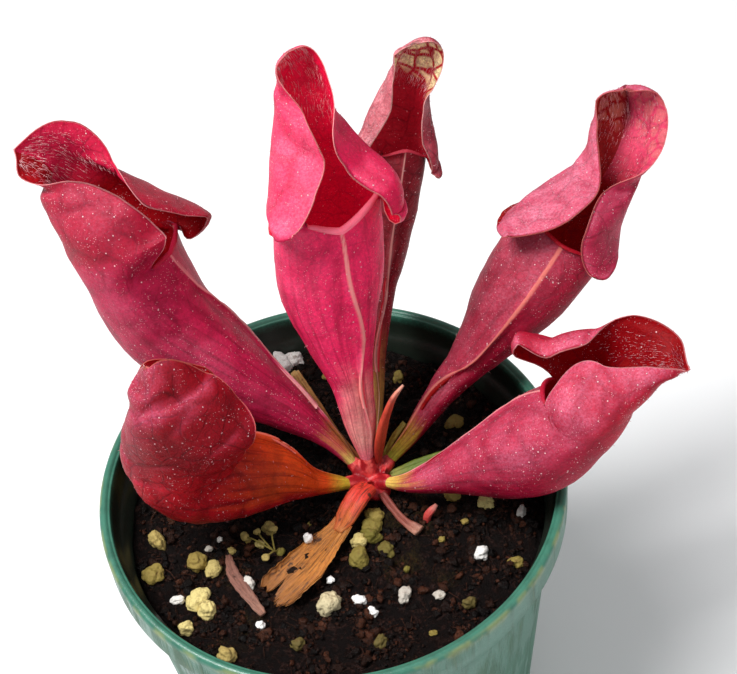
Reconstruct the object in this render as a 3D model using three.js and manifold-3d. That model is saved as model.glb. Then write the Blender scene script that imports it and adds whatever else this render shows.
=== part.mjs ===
// Potted pitcher plant: six hollow pitcher leaves and a few small ones round a short crown,
// in peat with pale grains, in a round plastic nursery pot.
// Millimetres, +Z up, origin at the centre of the pot's flat underside.
import * as THREE from 'three';
import { mergeVertices } from 'three/addons/utils/BufferGeometryUtils.js';
import Module from 'manifold-3d';

const wasm = await Module();
wasm.setup();

// Pot
const POT_HEIGHT = 90;
const RIM_RADIUS = 52.5;
const LIP_DEPTH = 9;
const WALL = 1.4;
const WALL_TOP_RADIUS = 49.2;
const BASE_RADIUS = 43;
const FLOOR = 2;
const DRAIN_HOLES = 6;
const DRAIN_RADIUS = 4;
const DRAIN_CIRCLE = 30;
const POT_SIDES = 48;

// Clearance between pieces that touch on the real plant
const GAP = 0.3;

// Soil
const SOIL_LEVEL = 78;
const SOIL_RADIUS = 47.2;
const SOIL_RINGS = [5, 11, 17, 23, 29, 35, 41];
const SOIL_SIDES = 40;

// Crown, the short rootstock that every leaf grows from
const CROWN = { x: 9, y: 4.5, radius: 4.3, foot: 66, top: 84.2 };

// Leaf sheet
const LEAF_WALL = 0.8;
const CAVITY_START = 1.6;
const LIP_ROLL = 0.55;
const COLUMNS = 18;
const ROWS_PER_STATION = 2;
const LIP_ROWS = 3;
const EDGE_REACH = 0.75;

const GREEN = 0x4f8f72;
const PEAT = 0x2b1d18;

// Pitcher leaves. A tube row is [x, y, z, half width, depth in front, depth behind] and
// a hood row adds [slit left, slit right] in degrees from the front, then how far the free edge on
// the left and on the right is drawn [sideways, forward, up the leaf]. The last tube row is the mouth.
// facing lists the direction of the leaf's front, from its base to its tip.
const PITCHERS = {
  tall_left: {
    colour: 0xa81d45,
    lip: [28, 60],
    wing: [1.2, 1.5, 2],
    dip: 0,
    tube: [
      [6.3, 6.7, 82.6, 1.1, 1, 1],
      [0.5, 11, 90, 2.5, 2.3, 2.3],
      [-7, 15, 99, 5.9, 5.3, 5.3],
      [-18.5, 20, 111, 10.4, 8.9, 9.4],
      [-28.5, 26, 123.5, 12.7, 10.8, 12.3],
      [-33.5, 30, 139, 12.5, 9.4, 11.9],
    ],
    hood: [
      [-35, 32, 145, 13.3, 10.6, 11.9, [32, 50], [2, 7.5, -0.5], [-3, 8.5, -6.5]],
      [-37.5, 34, 152, 12.5, 11.2, 10.6, [30, 35], [1, 6.5, -4], [-5.5, 7.5, -8.5]],
      [-41, 37, 158, 10.9, 9.8, 10.4, [50, 45], [3.5, 3, -5], [-7.5, 1, -12.5]],
      [-44.5, 39, 161.5, 9.2, 7.4, 7.9, [90, 75], [2.5, 1.5, -3], [-2, -1, -8]],
      [-49, 40, 163, 6.4, 4.4, 3.8, [110, 100], [0, 0, 1.5], [1.5, 0.5, -5]],
      [-53, 40, 164, 1.2, 0.7, 0.7, [110, 110], [0, 0, 0], [0, 0, 0]],
    ],
    facing: [[0.8, 0.5, 0.4], [0.75, 0.25, 0.6], [0.75, -0.5, 0.4], [0.6, -0.35, 0.75], [0.2, -0.35, 0.9]],
  },
  centre: {
    colour: 0xe0406c,
    lip: [50, 62],
    wing: [1.2, 1.2, 2],
    dip: 1,
    tube: [
      [8.8, 6.3, 84.1, 1.1, 1, 1],
      [8.5, 10, 94, 3.6, 3.3, 3.3],
      [8, 14, 105, 4.9, 4.4, 4.4],
      [7, 19, 116.5, 8.6, 7.3, 7.3],
      [7, 24, 129, 12.3, 9.8, 10.4],
      [9, 27, 148, 12.1, 7.5, 9.6],
    ],
    hood: [
      [8, 29, 153.5, 11.8, 8.8, 9.4, [45, 40], [-5, 3.5, -4], [-1.5, 10, -9.5]],
      [7, 31, 159, 9.8, 8.3, 7.9, [35, 35], [0, 4, -4], [2, 8.5, -8]],
      [7, 34, 166.5, 7.9, 7.1, 6.3, [50, 45], [5, 4, -7], [-1.5, 3, -10.5]],
      [7.5, 37, 171.5, 7.2, 5.8, 5.1, [85, 70], [2.5, 2, -3.5], [-2.5, 1.5, -7]],
      [6.5, 38, 175.5, 5.6, 3.9, 3.4, [105, 100], [0, 0, 0], [0, 0, 0]],
      [5.5, 38, 179, 1.6, 0.9, 0.9, [110, 110], [0, 0, 0], [0, 0, 0]],
    ],
    facing: [[0.4, -0.9, 0.25], [0.5, -0.8, 0.4], [0.45, -0.7, 0.55], [0.3, -0.8, 0.5], [0.4, -0.9, 0.05]],
  },
  rear: {
    colour: 0x7c1424,
    lip: [55, 60],
    wing: [1.8, 1, 2],
    dip: -1,
    tube: [
      [10.1, 8.6, 81, 0.9, 0.8, 0.8],
      [13.5, 22, 87, 1.6, 1.5, 1.5],
      [15.5, 31, 94, 2.1, 1.9, 1.9],
      [18, 39, 104, 3.5, 3, 3],
      [22, 44, 118.5, 5.3, 4.5, 4.5],
      [27, 49, 138.5, 6.2, 5, 5],
    ],
    hood: [
      [28, 51, 143, 7.7, 6.2, 6.2, [50, 50], [-5.5, 5.5, -6.5], [1.5, 7, -7.5]],
      [29, 53, 147.5, 7.2, 6.5, 5.8, [40, 40], [-1.5, 5, -7], [0.5, 4.5, -5.5]],
      [31, 54, 153, 6.7, 6.1, 5.4, [50, 60], [2, 2.5, -4.5], [-2, 2, -5]],
      [32.5, 55, 156.5, 6.1, 4.8, 4.2, [70, 80], [1, 1, -1.5], [-1.5, 2, -4]],
      [33, 55, 160, 5.1, 3.6, 3.1, [95, 100], [0, 0, 0], [0, 0, 0]],
      [32.5, 54, 163, 1.9, 1.1, 1.1, [110, 110], [0, 0, 0], [0, 0, 0]],
    ],
    facing: [[0, -0.6, 0.8], [0.1, -0.85, 0.55], [0.1, -0.85, 0.5], [-0.15, -0.95, 0.35], [-0.1, -0.95, -0.25]],
  },
  tall_right: {
    colour: 0xa8204c,
    lip: [50, 50],
    wing: [2, 1.5, 2],
    dip: 1,
    tube: [
      [12.5, 6.8, 81.3, 1.2, 1, 1],
      [20, 12, 85, 2.3, 2.1, 2.1],
      [28.5, 16, 94, 3.7, 3.3, 3.3],
      [36, 20, 99.5, 5.5, 4.7, 4.7],
      [48.5, 25, 112.5, 10.3, 8.8, 8.8],
      [59.5, 30, 124, 10.9, 8.1, 8.7],
    ],
    hood: [
      [63.5, 32, 129, 11, 8.8, 8.8, [40, 40], [-1, 9, -10], [5, 5, -7]],
      [68.5, 34, 135, 9, 8.1, 7.2, [30, 25], [5, 4.5, -10.5], [1, 4, -10]],
      [73, 38, 139, 8.5, 7.7, 6.8, [35, 35], [5.5, -1.5, -8], [-2.5, -1, -9]],
      [76.5, 42, 143, 8.7, 7, 6.1, [60, 75], [2, 0, -4], [-1, 0, -8]],
      [77, 44, 146, 7.4, 5.2, 4.4, [90, 100], [0, 0, 0], [0, 0, 0]],
      [76, 44, 149.5, 2.6, 1.6, 1.6, [110, 110], [0, 0, 0], [0, 0, 0]],
    ],
    facing: [[-0.75, 0.45, 0.5], [-0.55, -0.15, 0.8], [-0.35, -0.7, 0.6], [-0.2, -0.6, 0.8], [-0.2, -1, -0.05]],
  },
  low_right: {
    colour: 0xc42a52,
    lip: [40, 30],
    wing: [1.5, 1, 2],
    dip: 0,
    tube: [
      [11.8, 1.8, 82, 1.1, 1, 1],
      [17.5, -3, 86.5, 2.5, 2.2, 2.2],
      [26, -5, 91, 5.3, 4.8, 4.8],
      [37.5, -7, 96, 9.6, 8.5, 9.6],
      [46.5, -9, 102, 11.2, 11, 11.8],
      [54, -9, 107.5, 10.2, 9.7, 10.2],
    ],
    hood: [
      [56.5, -9, 113.5, 10.7, 10.2, 10.2, [48, 28], [4, 11, 2], [0, 0, 0]],
      [59.5, -9, 118.5, 10.4, 9.4, 8.3, [35, 28], [8, 4, -5], [0.5, 0.5, -1.5]],
      [65, -9, 119.5, 8.3, 7.5, 6.2, [45, 45], [2.5, 3, -5.5], [0, 1.5, -4]],
      [70, -9, 122, 6.8, 5.5, 4.1, [60, 60], [-2, 5, -1.5], [0, -0.5, -2.5]],
      [74.5, -9, 122, 4.8, 3.3, 2.9, [90, 90], [0.5, 2.5, 2], [0, 0, 0]],
      [77.5, -9, 118, 1, 0.6, 0.6, [110, 110], [0, 0, 0], [0, 0, 0]],
    ],
    facing: [[-0.05, 0.7, 0.7], [-0.2, 0.7, 0.7], [-0.9, 0.3, 0.3], [-0.35, 0.5, 0.75], [0.8, 0.05, 0.55]],
  },
  low_left: {
    colour: 0x8c0c1c,
    lip: [28, 45],
    wing: [1.2, 1, 2],
    dip: 0,
    tube: [
      [5.1, 3, 81.7, 1.1, 1, 1],
      [-4.5, 2, 86, 3.1, 3.1, 3.1],
      [-12.5, 1, 92.5, 5.6, 7.2, 7.2],
      [-21.5, 0, 96, 7.3, 10.2, 9.8],
      [-29, -1, 101.5, 8.3, 12.4, 11.6],
      [-30, -1, 108, 8.6, 12.9, 13.3],
    ],
    hood: [
      [-29.5, -1, 113, 8.9, 13.3, 13.3, [40, 45], [-0.5, 2.5, 2.5], [1.5, 0.5, -4]],
      [-29, -1, 119.5, 8.8, 12.7, 12.3, [30, 40], [-3, 2.5, -1], [0.5, 0, -5]],
      [-29.5, -1, 126, 8.2, 11.1, 10.7, [35, 45], [-2.5, 2, -2], [-1, 2, -5]],
      [-30.5, 0, 130, 6.9, 8.3, 8.3, [50, 60], [-0.5, 2.5, 0], [-3, 6, -5]],
      [-31, 0, 134, 5.5, 6, 6, [80, 90], [1.5, -0.5, 1.5], [0, 0, 0]],
      [-33, 0, 137, 1.6, 1.4, 1.4, [110, 110], [0, 0, 0], [0, 0, 0]],
    ],
    facing: [[0.25, 0.75, 0.55], [0.1, 0.8, 0.6], [0.95, -0.05, -0.25], [0.9, 0.45, 0.05], [0.7, 0.65, 0.3]],
  },
};

// Small leaves and scraps. A row is [x, y, z, half width, half thickness], with z measured
// from the top of the peat where the piece lies on it, and flat is the direction across the thickness.
const SMALL_LEAVES = {
  young_leaf: {
    colour: 0xd0523a,
    flat: [0.6, -0.8, 0],
    sides: 8,
    rows: [
      [11.2, 6.6, 83.8, 0.9, 0.7],
      [12.2, 6.8, 91, 1.6, 0.9],
      [14, 7.8, 97.5, 1.4, 0.8],
      [16.4, 9, 102.5, 0.9, 0.6],
      [19, 10, 105.2, 0.3, 0.3],
    ],
  },
  dying_leaf: {
    colour: 0xb06a34,
    flat: [0, 0.2, 1],
    sides: 10,
    liesOnPeat: true,
    rows: [
      [7.8, 0.5, 4.5, 2, 1.6],
      [5.4, -2, 5.3, 2.4, 1.8],
      [2.8, -4.6, 4.2, 2.4, 1.4],
      [0, -7.3, 2.4, 2.2, 0.9],
      [-4, -11, 1.6, 3.2, 0.6],
      [-9.2, -16, 1.3, 4.1, 0.5],
      [-14.2, -20, 1.3, 4.2, 0.5],
      [-18, -23, 1.3, 3.5, 0.4],
    ],
  },
  cut_stub: {
    colour: 0xa0603c,
    flat: [0, 0, 1],
    sides: 8,
    liesOnPeat: true,
    rows: [
      [10.7, 0.2, 1.9, 1, 0.7],
      [14, -6.8, 1.4, 1, 0.8],
      [17.4, -11.2, 1.3, 1.5, 0.9],
    ],
  },
  cut_stump: {
    colour: 0x9a6a3e,
    flat: [0.7, -0.7, 0.3],
    sides: 8,
    rows: [
      [7.6, 8.9, 81.2, 0.7, 0.7],
      [2.7, 13.6, 87.2, 1.2, 0.9],
      [-0.9, 18.5, 93.4, 1.4, 1],
      [-4.5, 23.5, 99.6, 1.4, 1],
    ],
  },
  strap_green: {
    colour: 0x7d8c34,
    flat: [0, -0.3, 1],
    sides: 8,
    rows: [
      [13.4, 4.8, 80.4, 0.9, 0.6],
      [20, 5.6, 81.6, 1.3, 0.5],
      [27, 6.6, 82.4, 1, 0.5],
    ],
  },
  strap_yellow: {
    colour: 0xb8a23c,
    flat: [-0.5, 0.3, 0.8],
    sides: 8,
    rows: [
      [11.6, 8.5, 79.3, 0.8, 0.6],
      [13.4, 11, 80.8, 1, 0.5],
      [15.9, 13.2, 83.4, 1.3, 0.5],
      [18.8, 14.9, 85.8, 0.9, 0.5],
    ],
  },
  red_sprout: {
    colour: 0xb02828,
    flat: [0, 1, 0],
    sides: 8,
    rows: [
      [19.8, -7.4, 75, 0.9, 0.9],
      [19.9, -7.2, 78.6, 0.9, 0.9],
      [21, -6.8, 80.2, 0.9, 0.8],
      [22.4, -6, 81, 0.5, 0.4],
    ],
  },
  dead_strip: {
    colour: 0xa87060,
    flat: [0, 0, 1],
    sides: 8,
    liesOnPeat: true,
    rows: [
      [-25.8, -8.6, 1.1, 0.7, 0.5],
      [-25.2, -13.2, 1.1, 1.3, 0.5],
      [-23.6, -17.6, 1.1, 1.5, 0.5],
      [-19.6, -25.4, 1.1, 0.9, 0.5],
    ],
  },
};

// Pale grains that show at the top of the soil: [x, y, radius]
const GRAINS = [
  [1.5, -26, 1.9], [-20.5, -27.5, 1.3], [4, -29.5, 1.4], [30, -19, 1.7], [11.5, -26.5, 1.9],
  [19, -27.5, 1.3], [41, -10, 1.5], [-38, -17.5, 1.4], [-6, 43, 3.2], [-3.5, 44.5, 2.2], [-5, -25.5, 2.6],
  [-33.5, -18.5, 2.6], [-31.5, -22, 2.3], [-36.5, -25.5, 2], [-29.5, -11, 2], [-41.5, -1, 2.4], [-43, -10, 2.3],
  [-33, -8.5, 2], [-28.5, -34, 2.3], [-16, -2.5, 1.7], [33.5, -6, 1.7], [26.5, -2, 1.5], [6.5, -9.5, 2.2],
  [9.5, -14, 2], [3, -14.5, 2.2], [25, -31, 1.5], [37, -23, 1.6], [4.5, -37, 1.7], [-13, -34, 1.6],
  [31, 18, 2], [-20, 30, 1.9], [20, 34, 1.8], [-38, 16, 2.2],
];
const GRAIN_SINK = 0.35;

function random(seed) {
  let state = seed;
  return () => {
    state = (state * 1664525 + 1013904223) % 4294967296;
    return state / 4294967296;
  };
}

// Catmull-Rom value of a list of numbers or vectors at row position t.
function along(list, t) {
  const last = list.length - 1;
  const i = Math.min(Math.floor(Math.max(t, 0)), last - 1);
  const w = Math.min(Math.max(t, 0), last) - i;
  const at = (k) => {
    if (k >= 0 && k <= last) return list[k];
    const [edge, inner] = k < 0 ? [list[0], list[1]] : [list[last], list[last - 1]];
    return Array.isArray(edge) ? edge.map((v, n) => 2 * v - inner[n]) : 2 * edge - inner;
  };
  const mix = (a, b, c, d) => 0.5 * (2 * b + (c - a) * w + (2 * a - 5 * b + 4 * c - d) * w * w
    + (3 * b - a - 3 * c + d) * w * w * w);
  const [p0, p1, p2, p3] = [at(i - 1), at(i), at(i + 1), at(i + 2)];
  return Array.isArray(p1) ? p1.map((v, n) => mix(p0[n], v, p2[n], p3[n])) : mix(p0, p1, p2, p3);
}

function vec(list) {
  return new THREE.Vector3(...list);
}

// Centre and axes of a leaf at row position t: along the leaf, towards its front, to its right.
function leafFrame(spine, facing, t) {
  const step = 0.02;
  const last = spine.length - 1;
  const tangent = vec(along(spine, Math.min(t + step, last))).sub(vec(along(spine, Math.max(t - step, 0))));
  tangent.normalize();
  const front = vec(along(facing, (t * (facing.length - 1)) / last));
  front.addScaledVector(tangent, -front.dot(tangent)).normalize();
  return { centre: vec(along(spine, t)), up: tangent, front, side: tangent.clone().cross(front) };
}

function place(frame, side, front, up) {
  return frame.centre.clone()
    .addScaledVector(frame.side, side)
    .addScaledVector(frame.front, front)
    .addScaledVector(frame.up, up);
}

function geometryFrom(points, faces) {
  const geometry = new THREE.BufferGeometry();
  geometry.setAttribute('position', new THREE.Float32BufferAttribute(points.flatMap((p) => [p.x, p.y, p.z]), 3));
  geometry.setIndex(faces.flat());
  return geometry;
}

function toManifold(geometry) {
  const bare = geometry.clone();
  bare.deleteAttribute('normal');
  bare.deleteAttribute('uv');
  const merged = mergeVertices(bare, 1e-4);
  return new wasm.Manifold(new wasm.Mesh({
    numProp: 3,
    vertProperties: new Float32Array(merged.attributes.position.array),
    triVerts: new Uint32Array(merged.index.array),
  }));
}

function fromManifold(solid) {
  const mesh = solid.getMesh();
  const geometry = new THREE.BufferGeometry();
  geometry.setAttribute('position', new THREE.Float32BufferAttribute(mesh.vertProperties, 3));
  geometry.setIndex(Array.from(mesh.triVerts));
  return geometry;
}

// A turned shape about +Z from its [radius, height] profile.
function turned(profile, sides) {
  const geometry = new THREE.LatheGeometry(profile.map(([r, z]) => new THREE.Vector2(r, z)), sides);
  return geometry.rotateX(Math.PI / 2);
}

function pot() {
  const lipFoot = POT_HEIGHT - LIP_DEPTH;
  const innerTop = RIM_RADIUS - 2.3;
  const profile = [
    [0, 0], [BASE_RADIUS - 1.5, 0], [BASE_RADIUS, 1.5], [WALL_TOP_RADIUS, lipFoot - 0.5],
    [RIM_RADIUS - 0.9, lipFoot], [RIM_RADIUS, lipFoot + 1], [RIM_RADIUS, POT_HEIGHT - 1.2],
    [RIM_RADIUS - 0.4, POT_HEIGHT - 0.3], [RIM_RADIUS - 1.2, POT_HEIGHT], [RIM_RADIUS - 2, POT_HEIGHT - 0.4],
    [innerTop, POT_HEIGHT - 1.4], [innerTop - 0.4, lipFoot + 3], [WALL_TOP_RADIUS - WALL, lipFoot + 0.5],
    [BASE_RADIUS - WALL, FLOOR + 1.5], [BASE_RADIUS - WALL - 1, FLOOR], [0, FLOOR],
  ];
  let solid = toManifold(turned(profile, POT_SIDES));
  for (let k = 0; k < DRAIN_HOLES; k += 1) {
    const angle = (k + 0.5) * (2 * Math.PI / DRAIN_HOLES);
    const cutter = new THREE.CylinderGeometry(DRAIN_RADIUS, DRAIN_RADIUS, 3 * FLOOR, 16).rotateX(Math.PI / 2);
    cutter.translate(DRAIN_CIRCLE * Math.cos(angle), DRAIN_CIRCLE * Math.sin(angle), FLOOR / 2);
    solid = solid.subtract(toManifold(cutter));
  }
  return fromManifold(solid);
}

// Uneven top of the peat, a little higher at the back.
function soilHeight(x, y) {
  const waves = 0.3 * Math.sin(x / 5.3 + 1) * Math.cos(y / 4.7) + 0.2 * Math.sin((x - 2 * y) / 7.1);
  return SOIL_LEVEL + waves + 2.5 * Math.max(0, y / SOIL_RADIUS) ** 2;
}

function soil() {
  const points = [];
  const faces = [];
  const ring = (radius, height) => {
    const start = points.length;
    for (let k = 0; k < SOIL_SIDES; k += 1) {
      const angle = (2 * Math.PI * k) / SOIL_SIDES;
      const [x, y] = [radius * Math.cos(angle), radius * Math.sin(angle)];
      points.push(new THREE.Vector3(x, y, height ?? soilHeight(x, y)));
    }
    return start;
  };
  const foot = FLOOR + GAP;
  points.push(new THREE.Vector3(0, 0, soilHeight(0, 0)));
  const rings = [...SOIL_RINGS, SOIL_RADIUS].map((radius) => ring(radius));
  const footRadius = BASE_RADIUS - WALL - GAP - 0.1;
  rings.push(ring(footRadius, foot + 1.6), ring(footRadius - 1.2, foot));
  const last = points.push(new THREE.Vector3(0, 0, foot)) - 1;
  for (let k = 0; k < SOIL_SIDES; k += 1) {
    const next = (k + 1) % SOIL_SIDES;
    faces.push([0, rings[0] + k, rings[0] + next]);
    faces.push([last, rings.at(-1) + next, rings.at(-1) + k]);
    for (let r = 0; r + 1 < rings.length; r += 1) {
      const [a, b] = [rings[r], rings[r + 1]];
      faces.push([a + k, b + k, b + next], [a + k, b + next, a + next]);
    }
  }
  let solid = toManifold(geometryFrom(points, faces));
  const draw = random(7);
  GRAINS.forEach(([x, y, radius]) => {
    const grain = new THREE.IcosahedronGeometry(radius, 0);
    grain.scale(0.85 + 0.3 * draw(), 0.85 + 0.3 * draw(), 0.8);
    grain.rotateZ(6.28 * draw());
    grain.translate(x, y, soilHeight(x, y) + radius * (0.5 - GRAIN_SINK));
    solid = solid.add(toManifold(grain));
  });
  const holes = [[CROWN.x, CROWN.y, CROWN.radius + GAP + 0.1, CROWN.foot - 1.5]];
  const [sproutX, sproutY, sproutFoot] = SMALL_LEAVES.red_sprout.rows[0];
  holes.push([sproutX, sproutY, 1.4, sproutFoot - 0.4]);
  holes.forEach(([x, y, radius, bottom]) => {
    const depth = POT_HEIGHT - bottom;
    const cutter = new THREE.CylinderGeometry(radius, radius, depth, 16).rotateX(Math.PI / 2);
    solid = solid.subtract(toManifold(cutter.translate(x, y, bottom + depth / 2)));
  });
  return fromManifold(solid);
}

function crown() {
  const { radius, foot, top } = CROWN;
  const geometry = turned([
    [0, foot - 1], [radius * 0.5, foot], [radius * 0.85, foot + 4], [radius, foot + 10],
    [radius, top - 5], [radius * 0.86, top - 2.4], [radius * 0.5, top - 0.6], [0, top],
  ], 16);
  return geometry.translate(CROWN.x, CROWN.y, 0);
}

// A flat or round leaf swept along its rows, closed at both ends.
function smallLeaf({ rows, flat, sides, liesOnPeat }) {
  const spine = rows.map(([x, y, z]) => [x, y, liesOnPeat ? soilHeight(x, y) + z : z]);
  const steps = ROWS_PER_STATION * (rows.length - 1);
  const points = [];
  const faces = [];
  for (let n = 0; n <= steps; n += 1) {
    const t = n / ROWS_PER_STATION;
    const frame = leafFrame(spine, [flat, flat], t);
    const [width, thickness] = along(rows.map((row) => row.slice(3)), t);
    for (let k = 0; k < sides; k += 1) {
      const angle = (2 * Math.PI * k) / sides;
      points.push(place(frame, width * Math.sin(angle), thickness * Math.cos(angle), 0));
    }
  }
  for (let k = 0; k < sides; k += 1) {
    const next = (k + 1) % sides;
    for (let n = 0; n < steps; n += 1) {
      const [a, b] = [n * sides, (n + 1) * sides];
      faces.push([a + k, a + next, b + next], [a + k, b + next, b + k]);
    }
    if (k > 0 && next > 0) {
      const top = steps * sides;
      faces.push([0, next, k], [top, top + k, top + next]);
    }
  }
  return geometryFrom(points, faces);
}

// The outer sheet of a pitcher as a net of shared points: rings for the tube, open rows for
// the hood behind the mouth, and short rows that roll the lip outwards in front.
function pitcherSheet(leaf) {
  const spine = [...leaf.tube, ...leaf.hood].map((row) => row.slice(0, 3));
  const sizes = [...leaf.tube, ...leaf.hood].map((row) => row.slice(3, 6));
  const mouth = leaf.tube.length - 1;
  const last = spine.length - 1;
  const [lipLeft, lipRight] = leaf.lip;
  const flatEdge = [[0, 0, 0], [0, 0, 0]];
  const slits = [leaf.lip, ...leaf.hood.map((row) => row[6])];
  const edges = [flatEdge, ...leaf.hood.map((row) => [row[7], row[8]])];
  const halfLip = Math.round((COLUMNS * (lipLeft + lipRight)) / 720);
  const lipColumns = 2 * halfLip;
  const backColumns = COLUMNS - lipColumns;
  const halfBack = Math.floor(backColumns / 2);
  const spread = (from, to, count) => Array.from({ length: count }, (_, k) => from + ((to - from) * k) / count);
  const angles = [
    ...spread(-lipLeft, 0, halfLip), ...spread(0, lipRight, halfLip),
    ...spread(lipRight, 180, halfBack), ...spread(180, 360 - lipLeft, backColumns - halfBack),
  ];
  const points = [];
  const wings = [];
  const faces = [];
  const add = (point, wing) => {
    wings.push(wing ?? new THREE.Vector3());
    return points.push(point) - 1;
  };
  const section = (frame, [wide, ahead, behind], degrees) => {
    const a = THREE.MathUtils.degToRad(degrees);
    return [wide * Math.sin(a), (Math.cos(a) > 0 ? ahead : behind) * Math.cos(a)];
  };

  const tubeRows = ROWS_PER_STATION * mouth;
  const [wingHeight, waveSize, waveCount] = leaf.wing;
  const tube = [];
  for (let n = 0; n <= tubeRows; n += 1) {
    const t = n / ROWS_PER_STATION;
    const s = n / tubeRows;
    const frame = leafFrame(spine, leaf.facing, t);
    const size = along(sizes, t);
    const height = wingHeight * Math.sin(Math.PI * Math.min(Math.max((s - 0.03) / 0.95, 0), 1)) ** 0.8;
    const wave = waveSize * Math.sin(s * waveCount * 2 * Math.PI) * Math.sin(Math.PI * s);
    const near = Math.min(Math.max(t - (mouth - 1), 0), 1) ** 2;
    tube.push(angles.map((degrees) => {
      const [side, front] = section(frame, size, degrees);
      const lipShare = degrees < 0 ? -degrees / lipLeft : degrees / lipRight;
      const rise = lipShare < 1 ? near * leaf.dip * Math.cos(lipShare * Math.PI / 2) ** 2 : 0;
      const ridge = degrees === 0 ? 1 : 0;
      const wing = frame.side.clone().multiplyScalar(wave * ridge).addScaledVector(frame.front, height * ridge);
      return add(place(frame, side, front, rise), wing);
    }));
  }
  const ringFaces = (low, high) => low.forEach((_, k) => {
    const next = (k + 1) % low.length;
    faces.push([low[k], low[next], high[next]], [low[k], high[next], high[k]]);
  });
  for (let n = 0; n < tubeRows; n += 1) ringFaces(tube[n], tube[n + 1]);

  const rim = tube.at(-1);
  const backAngles = [...angles.slice(lipColumns), 360 - lipLeft];
  const hoodRows = ROWS_PER_STATION * (last - mouth);
  const hood = [[...rim.slice(lipColumns), rim[0]]];
  for (let n = 1; n <= hoodRows; n += 1) {
    const step = n / ROWS_PER_STATION;
    const frame = leafFrame(spine, leaf.facing, mouth + step);
    const size = along(sizes, mouth + step);
    const [slitLeft, slitRight] = along(slits, step);
    const left = along(edges.map((pair) => pair[0]), step);
    const right = along(edges.map((pair) => pair[1]), step);
    hood.push(backAngles.map((ring) => {
      const onRight = ring <= 180;
      const share = onRight ? (ring - lipRight) / (180 - lipRight) : (360 - lipLeft - ring) / (180 - lipLeft);
      const slit = onRight ? slitRight : slitLeft;
      const degrees = slit + share * (180 - slit);
      const [side, front] = section(frame, size, onRight ? degrees : -degrees);
      const pull = Math.max(1 - (share / EDGE_REACH) ** 2, 0) ** 2;
      const edge = onRight ? right : left;
      return add(place(frame, side + pull * edge[0], front + pull * edge[1], pull * edge[2]));
    }));
  }
  const openFaces = (low, high) => {
    for (let k = 0; k + 1 < low.length; k += 1) {
      faces.push([low[k], low[k + 1], high[k + 1]], [low[k], high[k + 1], high[k]]);
    }
  };
  for (let n = 0; n < hoodRows; n += 1) openFaces(hood[n], hood[n + 1]);

  const mouthFrame = leafFrame(spine, leaf.facing, mouth);
  const lip = [rim.slice(0, lipColumns + 1)];
  for (let n = 1; n <= LIP_ROWS; n += 1) {
    const turn = (Math.PI * 1.1 * n) / LIP_ROWS;
    lip.push(lip[0].map((index, k) => {
      if (k === 0 || k === lipColumns) return index;
      const degrees = angles[k];
      const share = degrees < 0 ? -degrees / lipLeft : degrees / lipRight;
      const radius = LIP_ROLL * Math.cos((share * Math.PI) / 2) ** 0.5;
      const outward = place({ ...mouthFrame, centre: new THREE.Vector3() },
        Math.sin(THREE.MathUtils.degToRad(degrees)), Math.cos(THREE.MathUtils.degToRad(degrees)), 0);
      return add(points[index].clone()
        .addScaledVector(outward, radius * (1 - Math.cos(turn)))
        .addScaledVector(mouthFrame.up, radius * Math.sin(turn)));
    }));
  }
  for (let n = 0; n < LIP_ROWS; n += 1) openFaces(lip[n], lip[n + 1]);

  const rightEdge = hood.slice(1).map((row) => row[0]);
  const leftEdge = hood.slice(1).map((row) => row.at(-1)).reverse();
  const tip = hood.at(-1).slice(1, -1);
  const border = [...lip.at(-1), ...rightEdge, ...tip, ...leftEdge];
  const solidFaces = faces.filter(([a, b, c]) => a !== b && b !== c && c !== a);
  return { points, wings, faces: solidFaces, tube, border };
}

// The sheet given a thickness: the cavity starts where the petiole is wide enough for it.
function pitcher(leaf) {
  const { points, wings, faces, tube, border } = pitcherSheet(leaf);
  const normals = points.map(() => new THREE.Vector3());
  faces.forEach(([a, b, c]) => {
    const normal = points[b].clone().sub(points[a]).cross(points[c].clone().sub(points[a]));
    [a, b, c].forEach((index) => normals[index].add(normal));
  });
  normals.forEach((normal) => normal.normalize());
  const start = Math.round(CAVITY_START * ROWS_PER_STATION);
  const buried = new Set(tube.slice(0, start).flat());
  const count = points.length;
  const inner = points.map((point, index) => point.clone().addScaledVector(normals[index], -LEAF_WALL));
  const outer = points.map((point, index) => point.clone().add(wings[index]));
  const all = [...faces];
  faces.filter((face) => !face.some((index) => buried.has(index)))
    .forEach(([a, b, c]) => all.push([a + count, c + count, b + count]));
  border.forEach((index, k) => {
    const next = border[(k + 1) % border.length];
    all.push([index, next, next + count], [index, next + count, index + count]);
  });
  const foot = tube[0];
  const floor = tube[start].map((index) => index + count);
  for (let k = 1; k + 1 < foot.length; k += 1) {
    all.push([foot[0], foot[k + 1], foot[k]]);
    all.push([floor[0], floor[k], floor[k + 1]]);
  }
  return geometryFrom([...outer, ...inner], all);
}

function piece(name, geometry, colour, roughness) {
  const bare = geometry.clone();
  bare.deleteAttribute('normal');
  bare.deleteAttribute('uv');
  const shaped = mergeVertices(bare, 1e-5);
  shaped.computeVertexNormals();
  const material = new THREE.MeshStandardMaterial({ color: colour, roughness, metalness: 0 });
  const mesh = new THREE.Mesh(shaped, material);
  mesh.name = name;
  return mesh;
}

const plant = new THREE.Group();
plant.add(piece('pot', pot(), GREEN, 0.5));
plant.add(piece('soil', soil(), PEAT, 0.95));
plant.add(piece('crown', crown(), 0x7a1420, 0.6));
Object.entries(PITCHERS).forEach(([name, leaf]) => {
  plant.add(piece(`pitcher_${name}`, pitcher(leaf), leaf.colour, 0.45));
});
Object.entries(SMALL_LEAVES).forEach(([name, leaf]) => {
  plant.add(piece(name, smallLeaf(leaf), leaf.colour, 0.7));
});

export default plant;
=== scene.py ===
import math
import random

import bmesh
import bpy
import numpy as np
from mathutils import Matrix, Vector, noise


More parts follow.
